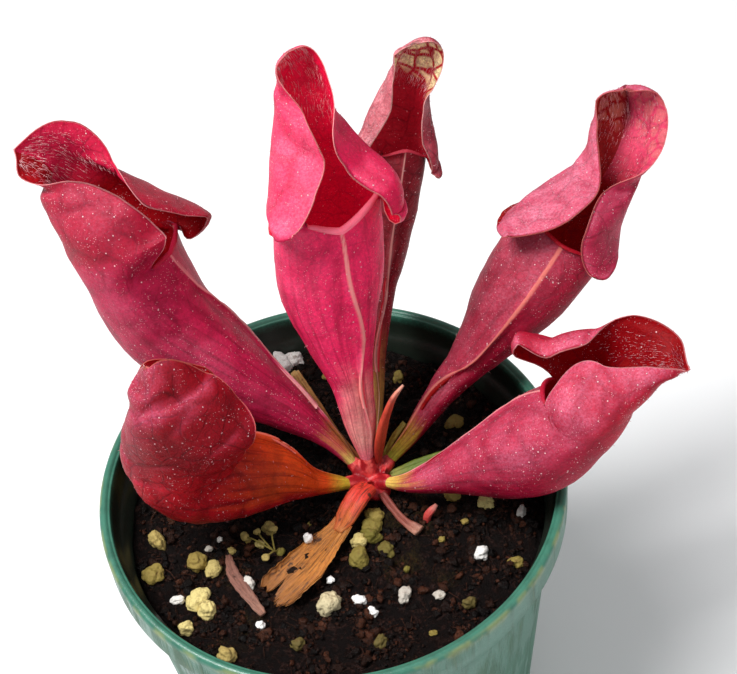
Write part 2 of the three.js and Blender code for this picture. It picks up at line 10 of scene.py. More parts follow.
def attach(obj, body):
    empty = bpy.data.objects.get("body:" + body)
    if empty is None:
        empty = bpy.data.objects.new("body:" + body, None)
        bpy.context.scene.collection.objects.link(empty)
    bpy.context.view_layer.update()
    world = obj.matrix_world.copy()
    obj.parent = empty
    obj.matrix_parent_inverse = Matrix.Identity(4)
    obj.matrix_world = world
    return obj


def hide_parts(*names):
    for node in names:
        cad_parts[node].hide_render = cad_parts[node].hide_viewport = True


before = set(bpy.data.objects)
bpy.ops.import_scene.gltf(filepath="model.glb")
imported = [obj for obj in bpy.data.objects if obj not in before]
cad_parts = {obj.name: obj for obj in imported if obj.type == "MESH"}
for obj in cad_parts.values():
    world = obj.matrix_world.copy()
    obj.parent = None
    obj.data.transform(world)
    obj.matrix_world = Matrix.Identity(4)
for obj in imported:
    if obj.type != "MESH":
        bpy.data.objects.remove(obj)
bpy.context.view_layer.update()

bl_info = {
    "name": "Potted Pitcher Plant",
    "version": (1, 0, 0),
    "blender": (4, 5, 0),
    "location": "View3D > Sidebar > Pitcher Plant",
    "description": "Dresses the packed solids of a potted pitcher plant with its leaves, peat and pot",
    "category": "Add Mesh",
}

MM = 0.001

# Pitcher leaves, in millimetres. A tube row is x, y, z, half width, depth in front, depth behind.
# A hood row adds the slit to the left and right in degrees from the front, then how far the free
# edge on the left and on the right is drawn sideways, forward and up the leaf. The last tube row
# is the mouth, and facing is the direction of the leaf's front from its base to its tip. Lip is how
# far round the mouth's lip reaches to the left and right, wing the ridge's height, sway and waves,
# dip how far the lip's middle hangs, notch how straight it runs down to there, and lean how far
# round the ridge leans at each tube row. Tip moves the lower end of a lobe sideways, forward and up,
# and curl bends the free edge the same way, one entry for each hood row. Cleft is how deep the fold
# down the hood's back is, and the notch at its top. What a leaf doesn't name is zero.
PITCHERS = {
    "tall_left": {
        "lip": (28, 60), "wing": (1.2, 1.5, 2), "dip": 0, "notch": 0.8, "lean": [0, 8, 18, 22, 14, 0],
        "tube": [
            (6.3, 6.7, 82.6, 1.1, 1, 1),
            (0.5, 11, 90, 2.5, 2.3, 2.3),
            (-7.6, 15, 98.4, 5.2, 5, 5.3),
            (-19.6, 20, 110, 9.3, 8.6, 9.4),
            (-29.5, 26, 122.5, 11.6, 10.4, 12),
            (-33.5, 30, 139, 12.5, 9.4, 11.9),
        ],
        "hood": [
            (-35, 32, 145, 13.3, 10.6, 11.9, 28, 62.5, 3, 6, -1, 2.5, 13, -10),
            (-37.5, 34, 152, 12.5, 11.2, 10.6, 25.5, 12.5, 2, 3.5, -5.5, -2, 4, -13),
            (-41, 37, 158, 10.9, 9.8, 10.4, 52.5, 28.5, 3.5, 4.5, -7.5, -7, 1, -11.5),
            (-44.5, 39, 161.5, 9.2, 7.4, 7.9, 61.5, 75.5, 2, -0.5, -5, -2.5, -2.5, -9.5),
            (-49, 40, 163, 6.4, 4.4, 3.8, 120.5, 113.5, 0, -0.5, 2, 2.5, 0, -5.5),
            (-53, 40, 164, 1.2, 0.7, 0.7, 110.5, 110, 0, 0, 0, 0, 0, 0),
        ],
        "facing": [
            (0.8, 0.5, 0.4), (0.75, 0.25, 0.6), (0.75, -0.5, 0.4),
            (0.6, -0.35, 0.75), (0.2, -0.35, 0.9),
        ],
        "tip_left": (0, 0.5, -0.5),
        "tip_right": (-2, -1.5, 0),
        "curl_right": [
            (-3, -5.5, 3), (3.5, -2.5, 3.5), (0.5, 0, 0),
            (-0.5, -1, -1), (0.5, 0, -0.5), (0, 0, 0),
        ],
    },
    "centre": {
        "lip": (50, 62), "wing": (1.2, 1.2, 2), "dip": -2.5, "notch": 0.72, "lean": [0, 0, 0, 0, -5, -13],
        "tube": [
            (8.8, 6.3, 84.1, 1.1, 1, 1),
            (8.5, 10, 94, 3.6, 3.3, 3.3),
            (8, 14, 105, 4.9, 4.4, 4.4),
            (7, 19, 116.5, 8.6, 7.3, 7.3),
            (7, 24, 129, 12.3, 9.8, 10.4),
            (9, 27, 148, 12.1, 7.5, 9.6),
        ],
        "hood": [
            (8, 29, 153.5, 11.8, 8.8, 9.4, 48.5, 23, -6, 3.5, -4, 0.5, 7.5, -13),
            (7, 31, 159, 9.8, 8.3, 7.9, 38.5, 4, 0, 4.5, -5, 5, 8, -8.5),
            (7, 34, 166.5, 7.9, 7.1, 6.3, 46.5, 23, 5.5, 3.5, -8, 1.5, 4, -8.5),
            (7.5, 37, 171.5, 7.2, 5.8, 5.1, 51, 59, 3, 0.5, -5.5, -3.5, 4, -6.5),
            (6.5, 38, 175.5, 5.6, 3.9, 3.4, 90, 86, 1, -0.5, -0.5, -0.5, 0, -0.5),
            (5.5, 38, 179, 2.6, 1.6, 1.6, 110, 110, 0, 0, 0, 0, 0, 0),
        ],
        "facing": [
            (0.4, -0.9, 0.25), (0.5, -0.8, 0.4), (0.45, -0.7, 0.55),
            (0.3, -0.8, 0.5), (0.4, -0.9, 0.05),
        ],
        "tip_left": (-2, -1, 0),
        "tip_right": (-2, 0, -5),
        "curl_right": [
            (0.5, -2, 3.5), (-0.5, -1.5, 1), (-1.5, 0, -1),
            (-0.5, 1, 0), (0, 0.5, -0.5), (0, 0, 0),
        ],
    },
    "rear": {
        "lip": (55, 60), "wing": (1.8, 1, 2), "dip": 2.5, "notch": 0.8,
        "tube": [
            (10.1, 8.6, 81, 0.9, 0.8, 0.8),
            (13.5, 22, 87, 1.6, 1.5, 1.5),
            (15.5, 31, 94, 2.1, 1.9, 1.9),
            (18, 39, 104, 3.5, 3, 3),
            (22, 44, 118.5, 5.3, 4.5, 4.5),
            (27, 49, 138.5, 6.2, 5, 5),
        ],
        "hood": [
            (28, 51, 143, 7.7, 6.2, 6.2, 61.5, 52, -5, 4, -4, 0.5, 4, -8.5),
            (29, 53, 147.5, 7.2, 6.5, 5.8, 44.5, 46.5, -2, 5, -7, 0, 2.5, -6),
            (31, 54, 153, 6.7, 6.1, 5.4, 50.5, 70, 2.5, 2, -5, -2, 2, -4),
            (33, 55, 156.5, 6.4, 4.8, 4.2, 68, 77, 1.5, 0.5, -3.5, -2, 2.5, -3),
            (33.6, 55, 160, 5.6, 3.6, 3.1, 84, 90, 0, -1, -0.5, -0.5, 0.5, -0.5),
            (32.5, 54, 163, 3, 1.8, 1.8, 110, 110, 0, 0, 0, 0, 0, 0),
        ],
        "facing": [
            (0, -0.6, 0.8), (0.1, -0.85, 0.55), (0.1, -0.85, 0.5),
            (-0.15, -0.95, 0.35), (-0.1, -0.95, -0.25),
        ],
        "tip_left": (-0.5, -1, 0),
        "tip_right": (1.5, -0.5, -2.5),
        "curl_right": [(-0.5, -1.5, 0.5), (0, -1, 0), (0, 0, 0.5), (0, 0, 0.5), (0, 0.5, -0.5), (0, 0, 0)],
    },
    "tall_right": {
        "cleft": (1.4, 1.2), "lip": (50, 50), "wing": (1.4, 1.5, 2), "dip": -1, "notch": 0.3,
        "lean": [0, 27, 38, 41, 34, 14],
        "tube": [
            (12.5, 6.8, 81.3, 1.2, 1, 1),
            (20, 12, 85, 2.3, 2.1, 2.1),
            (28.5, 16, 94, 3.7, 3.3, 3.3),
            (36, 20, 99.5, 5.5, 4.7, 4.7),
            (48.5, 25, 112.5, 10.3, 8.8, 8.8),
            (59.5, 30, 124, 10.9, 8.1, 8.7),
        ],
        "hood": [
            (63.5, 32, 129, 11, 8.8, 8.8, 40, 42, -1, 9, -10, 4.5, 4.5, -8),
            (68.5, 34, 135, 9, 8.1, 7.2, 30, 28, 5, 4.5, -10.5, 0.5, 3, -11),
            (73, 38, 139, 8.5, 7.7, 6.8, 32.5, 37, 5.5, -1.5, -9.5, -2.5, -1.5, -9.5),
            (76.5, 42, 143, 8.7, 7, 6.1, 58, 79, 1.5, -1, -4, -1, 1, -8),
            (77, 44, 146, 7.4, 5.2, 4.4, 85, 88, 0.5, -0.5, 1.5, 0.5, 0, -2),
            (76, 44, 149.5, 3.4, 2.2, 2.2, 110, 110, 0, 0, 1.5, 0, 0, -1),
        ],
        "facing": [
            (-0.75, 0.45, 0.5), (-0.55, -0.15, 0.8), (-0.35, -0.7, 0.6),
            (-0.2, -0.6, 0.8), (-0.2, -1, -0.05),
        ],
        "tip_left": (-2, 1, 0.5),
    },
    "low_right": {
        "lip": (40, 24), "wing": (0.8, 1, 2), "dip": 0,
        "tube": [
            (11.8, 1.8, 82, 1.1, 1, 1),
            (17.5, -3, 86.5, 2.5, 2.2, 2.2),
            (26, -5, 90.6, 4.8, 4.5, 4.8),
            (37.5, -7, 96, 9.6, 8.5, 9.6),
            (46.5, -9, 102, 11.2, 10.8, 11.2),
            (54, -9, 107.5, 10.8, 10, 8.8),
        ],
        "hood": [
            (57, -9, 113, 10.6, 9.6, 8.6, -10, 16, -2, 14, 0.5, -0.5, 0.5, 0.5),
            (60.5, -9, 117.2, 9.8, 8.6, 7.6, -16, 12, -1.5, 8.5, -5.5, -1.5, 0, -3),
            (65, -9, 119.5, 8.3, 7.5, 6.2, -12, 39.5, -2.5, 5.5, -3.5, -1.5, 0, -3.5),
            (70, -9, 122, 6.8, 5.5, 4.1, 56.5, 58, -3, 5, -1, -1.5, -1.5, -2),
            (74.5, -9, 122, 4.8, 3.3, 2.9, 92, 91, 0.5, 2.5, 2, -1, -0.5, -1),
            (77.5, -9, 118, 1, 0.6, 0.6, 110, 110, 0, 0, 0, 0, 0, 0),
        ],
        "facing": [
            (-0.05, 0.7, 0.7), (-0.2, 0.7, 0.7), (-0.9, 0.3, 0.3),
            (-0.35, 0.5, 0.75), (0.8, 0.05, 0.55),
        ],
        "tip_left": (0, 0, 1.5),
        "curl_left": [(-2.5, -3.5, 1), (-1, -4, 0), (-0.5, -3, -1.5), (-0.5, 0, 0), (0, 0, 0), (0, 0, 0)],
    },
    "low_left": {
        "lip": (28, 45), "wing": (1.2, 1, 2), "dip": 0,
        "tube": [
            (5.1, 3, 81.7, 1.1, 1, 1),
            (-4.5, 2, 86, 3.1, 3.1, 3.1),
            (-12.5, 1, 92.5, 5.6, 7.2, 7.2),
            (-21.5, 0, 96, 7.3, 10.2, 9.8),
            (-29, -1, 101.5, 8.3, 12.4, 11.6),
            (-30, -1, 108, 8.6, 12.9, 13.3),
        ],
        "hood": [
            (-29.5, -1, 113, 8.9, 13.3, 13.3, 38, 45, -0.5, 2.5, 2, 1.5, 0.5, -4),
            (-29, -1, 119.5, 8.8, 12.7, 12.3, 38, 40, -2.5, 4, -1, 0.5, 0, -5),
            (-29.5, -1, 126, 8.2, 11.1, 10.7, 21, 45, -2.5, 1, -4, -1, 2, -5),
            (-30.5, 0, 130, 6.9, 8.3, 8.3, 31, 60, -0.5, 1.5, -1.5, -3, 6, -5),
            (-31, 0, 134, 5.5, 6, 6, 73, 90, 2.5, 1.5, 2.5, 0, 0, 0),
            (-33, 0, 137, 1.6, 1.4, 1.4, 110, 110, 0, 0, 0, 0, 0, 0),
        ],
        "facing": [
            (0.25, 0.75, 0.55), (0.1, 0.8, 0.6), (0.95, -0.05, -0.25),
            (0.9, 0.45, 0.05), (0.7, 0.65, 0.3),
        ],
        "tip_left": (0, 0, 1),
    },
}

# The look of each pitcher: colours as sRGB hex, then how strong each effect is. Relief is how far
# the skin puffs between its veins, in millimetres, and the width of a cell. Roll is the lip's radius
# as a share of a full roll, and hood_hair the length of the stiff hairs. Window is the colour of the
# pale cells inside a hood, where it has them.
# A look's number for the inside's emission sets how much painted light the inside of the pitcher gives off,
# standing in for light through its thin wall.
# Each look's bloom colour and its shares paint waxy bloom together with painted sheen on the skin that faces
# the key light.
# Where a look gives the right half of a hood's inside a lighter colour than the rest of the inside, that is a
# lit copy: painted light, with the darker left half as painted shade.
LEAF_LOOKS = {
    "tall_left": {
        "foot": "B88A3A", "base": "C8B060", "belly": "B81C48", "hood": "A00C2C", "bloom": "E890AC",
        "inside": "8C040E", "inside_right": "B4183C", "veins": "4A0210", "edge": "F0A0A0", "lip": "B02040",
        "bloom_share": 0.18, "tube_bloom": 0.85, "foot_share": 0.1, "net": 0.28, "specks": 1,
        "relief": (0.16, 9), "roll": 0.42, "glow": 0.5, "hood_hair": 1,
    },
    "centre": {
        "foot": "F0A49C", "base": "EC7888", "belly": "F02A62", "hood": "D21A4C", "bloom": "FCA0C0",
        "inside": "C60A30", "inside_right": "C40E34", "veins": "8A0828", "edge": "FFA8A0", "lip": "E8788E",
        "bloom_share": 0.32, "tube_bloom": 0.42, "foot_share": 0.26, "net": 0.25, "specks": 0.8,
        "relief": (0.1, 11), "roll": 0.75, "glow": 0.8, "hood_hair": 1,
    },
    "rear": {
        "foot": "B08444", "base": "A88838", "belly": "8E1828", "hood": "9C3040", "bloom": "F09CA4",
        "inside": "961020", "inside_right": "961020", "veins": "540410", "edge": "F0B0A8", "lip": "A83848",
        "bloom_share": 0.85, "tube_bloom": 0.35, "foot_share": 0.2, "net": 0.85, "specks": 0.8,
        "relief": (0.15, 5), "roll": 0.28, "glow": 1.3, "hood_hair": 1,
        "window": "E8D8A4", "windows": 1,
    },
    "tall_right": {
        "foot": "C09838", "base": "B0A838", "belly": "A00C30", "hood": "B42046", "bloom": "F4A4BC",
        "inside": "820608", "inside_right": "C43C5C", "veins": "5E0416", "edge": "E07E70", "lip": "9C1024",
        "bloom_share": 0.55, "tube_bloom": 0.2, "foot_share": 0.13, "net": 0.5, "specks": 1,
        "relief": (0.16, 6), "roll": 0.4, "glow": 0.5, "hood_hair": 1,
        "window": "DC9C88", "windows": 0.25,
    },
    "low_right": {
        "foot": "CCA450", "base": "E0C060", "belly": "A81034", "hood": "B0102E", "bloom": "F08CAC",
        "inside": "7E0006", "inside_right": "8E0410", "veins": "560216", "edge": "F4A0A0", "lip": "B01C38",
        "bloom_share": 0.5, "tube_bloom": 0.3, "foot_share": 0.1, "net": 0.22, "specks": 0.9,
        "relief": (0.1, 10), "roll": 0.42, "glow": 0.6, "hood_hair": 0.6,
    },
    "low_left": {
        "foot": "CC4616", "base": "B8A030", "belly": "A20A18", "hood": "8C0818", "bloom": "D8688C",
        "inside": "8A0410", "inside_right": "8A0410", "veins": "440208", "edge": "E87868", "lip": "A01420",
        "bloom_share": 0.42, "tube_bloom": 0.12, "foot_share": 0.34, "net": 0.6, "specks": 0.8,
        "relief": (0.5, 10), "roll": 0.4, "glow": 0.5, "hood_hair": 1,
    },
}

# The crown, which every leaf grows from, and how many small scales it has
CROWN = {"x": 9, "y": 4.5, "scales": 15}

# The columns of a hood row that hold how far the free edge rises, on the left and on the right
RISE_LEFT, RISE_RIGHT = 10, 13

# The skin of a pitcher, in millimetres: how far it wobbles and over what distance, and how deep it is
# creased under a lobe. Then the share of the wall's thickness that is left at the free edge, and how
# many stations from its foot a leaf is solid.
WOBBLE, WOBBLE_SIZE = 0.3, 11
CREASE = 0.7
THIN_EDGE = 0.25
SOLID_STATIONS = 1.6

# Small leaves and scraps. A row is x, y, z, half width, half thickness, and flat is the direction
# across the thickness. Where the piece lies on the peat, z is measured from the top of the peat.
SMALL_LEAVES = {
    "young_leaf": {
        "flat": (0.6, -0.8, 0), "lies": False,
        "rows": [(11.2, 6.6, 83.8, 0.9, 0.7), (12.2, 6.8, 91, 1.6, 0.9), (14, 7.8, 97.5, 1.4, 0.8),
                 (16.4, 9, 102.5, 0.9, 0.6), (19, 10, 105.2, 0.3, 0.3)],
    },
    "dying_leaf": {
        "flat": (0, 0.2, 1), "lies": True,
        "rows": [(7.8, 0.5, 4.5, 2, 1.6), (5.4, -2, 5.3, 2.4, 1.8), (2.8, -4.6, 4.2, 2.4, 1.4),
                 (0, -7.3, 2.4, 2.2, 0.9), (-4, -11, 1.6, 3.2, 0.6), (-9.2, -16, 1.3, 4.1, 0.5),
                 (-14.2, -20, 1.3, 4.2, 0.5), (-18, -23, 1.3, 3.5, 0.4)],
    },
    "cut_stub": {
        "flat": (0, 0, 1), "lies": True,
        "rows": [(10.7, 0.2, 1.9, 1, 0.7), (14, -6.8, 1.4, 1, 0.8), (17.4, -11.2, 1.3, 1.5, 0.9)],
    },
    "cut_stump": {
        "flat": (0.7, -0.7, 0.3), "lies": False,
        "rows": [(7.6, 8.9, 81.2, 0.7, 0.7), (2.7, 13.6, 87.2, 1.2, 0.9), (-0.9, 18.5, 93.4, 1.4, 1),
                 (-4.5, 23.5, 99.6, 1.4, 1)],
    },
    "strap_green": {
        "flat": (0, -0.3, 1), "lies": False,
        "rows": [(13.4, 4.8, 80.4, 0.9, 0.6), (20, 5.6, 81.6, 1.3, 0.5), (27, 6.6, 82.4, 1, 0.5)],
    },
    "strap_yellow": {
        "flat": (-0.5, 0.3, 0.8), "lies": False,
        "rows": [(11.6, 8.5, 79.3, 0.8, 0.6), (13.4, 11, 80.8, 1, 0.5), (15.9, 13.2, 83.4, 1.3, 0.5),
                 (18.8, 14.9, 85.8, 0.9, 0.5)],
    },
    "red_sprout": {
        "flat": (0, 1, 0), "lies": False,
        "rows": [(19.8, -7.4, 75, 0.9, 0.9), (19.9, -7.2, 78.6, 0.9, 0.9), (21, -6.8, 80.2, 0.9, 0.8),
                 (22.4, -6, 81, 0.5, 0.4)],
    },
    "dead_strip": {
        "flat": (0, 0, 1), "lies": True,
        "rows": [(-25.8, -8.6, 1.1, 0.7, 0.5), (-25.2, -13.2, 1.1, 1.3, 0.5), (-23.6, -17.6, 1.1, 1.5, 0.5),
                 (-19.6, -25.4, 1.1, 0.9, 0.5)],
    },
}

# The look of each small leaf: sRGB colours at its foot, middle and tip, of its streaks, how strong
# the streaks are, how rough its surface is, and the record's finish that it takes.
SMALL_LOOKS = {
    "young_leaf": ("A82A20", "CC4A34", "E8A890", "8A1C1C", 0.5, 0.4, "pitcher_leaf"),
    "dying_leaf": ("D23424", "BE7830", "8E5826", "361806", 0.95, 0.6, "dead_leaf"),
    "cut_stub": ("7A2A22", "8A4638", "B07A66", "54241C", 0.7, 0.55, "dead_leaf"),
    "cut_stump": ("9A5A2A", "A8743A", "B08A4E", "5E3212", 0.9, 0.6, "dead_leaf"),
    "strap_green": ("8A8A3A", "6A7C28", "7C8A34", "46541A", 0.5, 0.45, "green_leaf"),
    "strap_yellow": ("B87A34", "B09A3A", "A89A44", "7E5A1E", 0.6, 0.5, "green_leaf"),
    "red_sprout": ("B02A2C", "C84A44", "E08A7C", "7E1418", 0.4, 0.4, "pitcher_leaf"),
    "dead_strip": ("8A5A4A", "86584A", "9A6E5C", "45261E", 0.9, 0.75, "dead_leaf"),
}

# Grains on the peat, as x, y and radius in millimetres, then the tone from 0, dark bark, over olive,
# tan, cream and grey to 1, white. The first part of the list is in the solid too.
GRAINS = [
    (1.5, -26, 1.5, 1), (-20.5, -27.5, 1.1, 1), (4, -29.5, 1.2, 1), (30, -19, 1.7, 0.95),
    (11.5, -26.5, 1.9, 0.8), (19, -27.5, 1.2, 0.8), (41, -10, 1.2, 0.9), (-38, -17.5, 1.3, 0.9),
    (-7.5, 43.5, 3, 0.95), (-4.5, 44.5, 2.2, 0.95), (-5, -25.5, 2.6, 0.7), (-33.5, -18.5, 2.6, 0.6),
    (-31.5, -22, 2.3, 0.6), (-36.5, -25.5, 2, 0.6), (-29.5, -11, 2, 0.5), (-41.5, -1, 2.4, 0.45),
    (-43, -10, 2.3, 0.3), (-33, -8.5, 2, 0.35), (-28.5, -34, 2.3, 0.45), (-16, -2.5, 1.7, 0.45),
    (33.5, -6, 1.7, 0.6), (26.5, -2, 1.5, 0.4), (6.5, -9.5, 2.2, 0.2), (9.5, -14, 2, 0.15),
    (3, -14.5, 2.2, 0.25), (25, -31, 1.5, 0.1), (37, -23, 1.6, 0.3), (4.5, -37, 1.7, 0.1),
    (-13, -34, 1.6, 0.1), (31, 18, 2, 0.3), (-20, 30, 1.9, 0.3), (20, 34, 1.8, 0.3), (-38, 16, 2.2, 0.3),
    (8.2, -4.6, 1.9, 0.3), (7, -7.4, 2.1, 0.25), (3.8, -10.4, 1.9, 0.55), (-4, -19, 1, 1),
    (-22, -16.5, 1.3, 0.85), (-18.5, -6.5, 1.1, 0.5), (-21, -5, 0.9, 0.35), (-30, -5.5, 0.8, 0.8),
    (-27.5, -3.5, 0.7, 0.9), (-25, -7, 0.9, 0.45), (-14, -10, 1, 0.2), (-6.5, -3.5, 0.8, 0.3),
    (13, -20, 0.9, 0.2), (22, -14, 0.8, 0.3), (16, -37, 0.9, 0.3), (28, -10, 0.9, 0.35),
    (35, 2, 1.2, 0.3), (39, 8, 0.9, 0.6), (-8, 30, 1, 0.6), (3, 38, 1.3, 0.4), (-28, 22, 1.1, 0.5),
]
# The grain that lies on the dying leaf
LEAF_GRAIN = (-7.5, -9, 1.5, 1)
# The colour of a grain at each tone
GRAIN_TONES = [
    (0.0, "3A2418"), (0.2, "6E6420"), (0.4, "98803E"), (0.6, "D2C07C"), (0.8, "B8B0A4"), (1.0, "F2F0EC"),
]

# Round pads and stems of the seedlings, each stem as three points in millimetres above the peat
SEEDLINGS = [
    [(-21.5, -4.6, 1.4), (-19.4, -6.6, 2.4), (-15.2, -9.6, 0.4)],
    [(-18.6, -4.3, 2.2), (-17.6, -6.8, 2.6), (-15.6, -9.4, 0.4)],
    [(-17.4, -11.4, 1.4), (-15.8, -10.6, 1.8), (-14.6, -9.4, 0.4)],
    [(-15, -4.2, 2), (-15.4, -6.2, 2.2), (-15.3, -9.2, 0.3)],
]

SOIL_LEVEL = 78
SOIL_RADIUS = 47.2
POT_FLOOR = 2


def length_setting(name, description, millimetres):
    return bpy.props.FloatProperty(
        name=name, description=description, default=millimetres * MM, unit="LENGTH")


def count_setting(name, description, default, least=0):
    return bpy.props.IntProperty(name=name, description=description, default=default, min=least)


def colour_setting(name, description, default):
    return bpy.props.FloatVectorProperty(
        name=name, description=description, subtype="COLOR", size=3, default=default, min=0, max=1)


class PitcherSizes(bpy.types.PropertyGroup):
    wall: length_setting("Leaf wall", "Thickness of a pitcher's wall", 0.7)
    lip_roll: length_setting("Lip roll", "Radius of a full rolled lip at a mouth", 1)
    columns: count_setting("Columns", "Faces round a pitcher", 96, least=24)
    rows: count_setting("Rows a station", "Faces along a pitcher between two of its stations", 9, least=3)
    hood_hairs: count_setting("Hood hairs", "Stiff hairs inside each hood", 520)
    skin_hairs: count_setting("Skin hairs", "Short pale hairs on the outside of each pitcher", 420)


class PotSizes(bpy.types.PropertyGroup):
    rim_radius: length_setting("Rim radius", "Outer radius of the rim", 52.5)
    base_radius: length_setting("Base radius", "Outer radius at the underside", 43)
    height: length_setting("Height", "Height of the pot", 90)
    plastic: colour_setting("Plastic", "Colour of the pot", (0.042, 0.17, 0.115))


class PeatSizes(bpy.types.PropertyGroup):
    crumbs: count_setting("Crumbs", "Loose crumbs on the peat", 7000)
    fibres: count_setting("Fibres", "Loose fibres on the peat", 1300)
    colour: colour_setting("Peat", "Colour of the peat", (0.0045, 0.0022, 0.0018))


class StageSizes(bpy.types.PropertyGroup):
    floor_width: length_setting("Floor width", "Width of the plain floor", 6000)
    floor_colour: colour_setting("Floor", "Colour of the floor", (0.9, 0.9, 0.9))


def unit(vectors):
    lengths = np.linalg.norm(vectors, axis=-1, keepdims=True)
    return vectors / np.maximum(lengths, 1e-12)


def smoothstep(low, high, values):
    share = np.clip((values - low) / (high - low), 0, 1)
    return share * share * (3 - 2 * share)


def curve_through(rows, at):
    """Catmull-Rom values of a list of numbers or vectors at the row positions in at."""
    rows = np.asarray(rows, float)
    flat = rows.ndim == 1
    if flat:
        rows = rows[:, None]
    last = len(rows) - 1
    at = np.clip(np.asarray(at, float), 0, last)
    index = np.minimum(at.astype(int), last - 1)
    w = (at - index)[:, None]
    here, there = rows[index], rows[index + 1]
    before = np.where((index > 0)[:, None], rows[np.maximum(index - 1, 0)], 2 * here - there)
    after = np.where((index < last - 1)[:, None], rows[np.minimum(index + 2, last)], 2 * there - here)
    values = 0.5 * (
        2 * here + (there - before) * w + (2 * before - 5 * here + 4 * there - after) * w**2
        + (3 * here - before - 3 * there + after) * w**3
    )
    return values[:, 0] if flat else values


def leaf_axes(spine, facing, at):
    """Centre of a leaf and its directions up the leaf, to the front and to the side."""
    step = 0.02
    last = len(spine) - 1
    ahead = curve_through(spine, np.minimum(at + step, last))
    up = unit(ahead - curve_through(spine, np.maximum(at - step, 0)))
    front = curve_through(facing, at * (len(facing) - 1) / last)
    front = unit(front - (front * up).sum(-1, keepdims=True) * up)
    return curve_through(spine, at), up, front, np.cross(up, front)


def placed(axes, x, y, z):
    """A grid of points at x to the side, y to the front and z up from the centre of each row."""
    centre, up, front, side = (part[:, None] for part in axes)
    grid = centre + x[..., None] * side + y[..., None] * front
    return grid + z[..., None] * up


def oval(turn, wide, ahead, behind):
    """How far a leaf's skin is to the side and to the front of its centre, at a turn from the front."""
    return wide[:, None] * np.sin(turn), np.where(
        np.cos(turn) > 0, ahead[:, None], behind[:, None]) * np.cos(turn)


def point_normals(points, faces):
    """Normals of a mesh of four-sided faces, by the area of the faces round each point."""
    diagonals = points[faces[:, 2]] - points[faces[:, 0]], points[faces[:, 3]] - points[faces[:, 1]]
    face_normals = np.cross(*diagonals)
    normals = np.zeros_like(points)
    for corner in range(4):
        np.add.at(normals, faces[:, corner], face_normals)
    return unit(normals)


def strip_faces(low, high):
    """Faces between two rows of point indices of one length."""
    return np.stack([low[:-1], low[1:], high[1:], high[:-1]], -1)


def bumps(points, size, seed, octaves=3):
    """Smooth noise from -1 to 1 at points, with features about size across."""
    shift = Vector((seed * 17.3, seed * 5.1, seed * 9.7))
    return np.array([noise.fractal(Vector(p) / size + shift, 0.9, 2, octaves) for p in points])


def cells(points, size, seed):
    """Distance from the nearest cell wall, as a share of the cell, for cells about size across."""
    shift = Vector((seed * 3.7, seed * 11.9, seed * 6.1))
    walls = np.empty(len(points))
    for index, point in enumerate(points):
        near = noise.voronoi(Vector(point) / size + shift)[0]
        walls[index] = near[1] - near[0]
    return walls


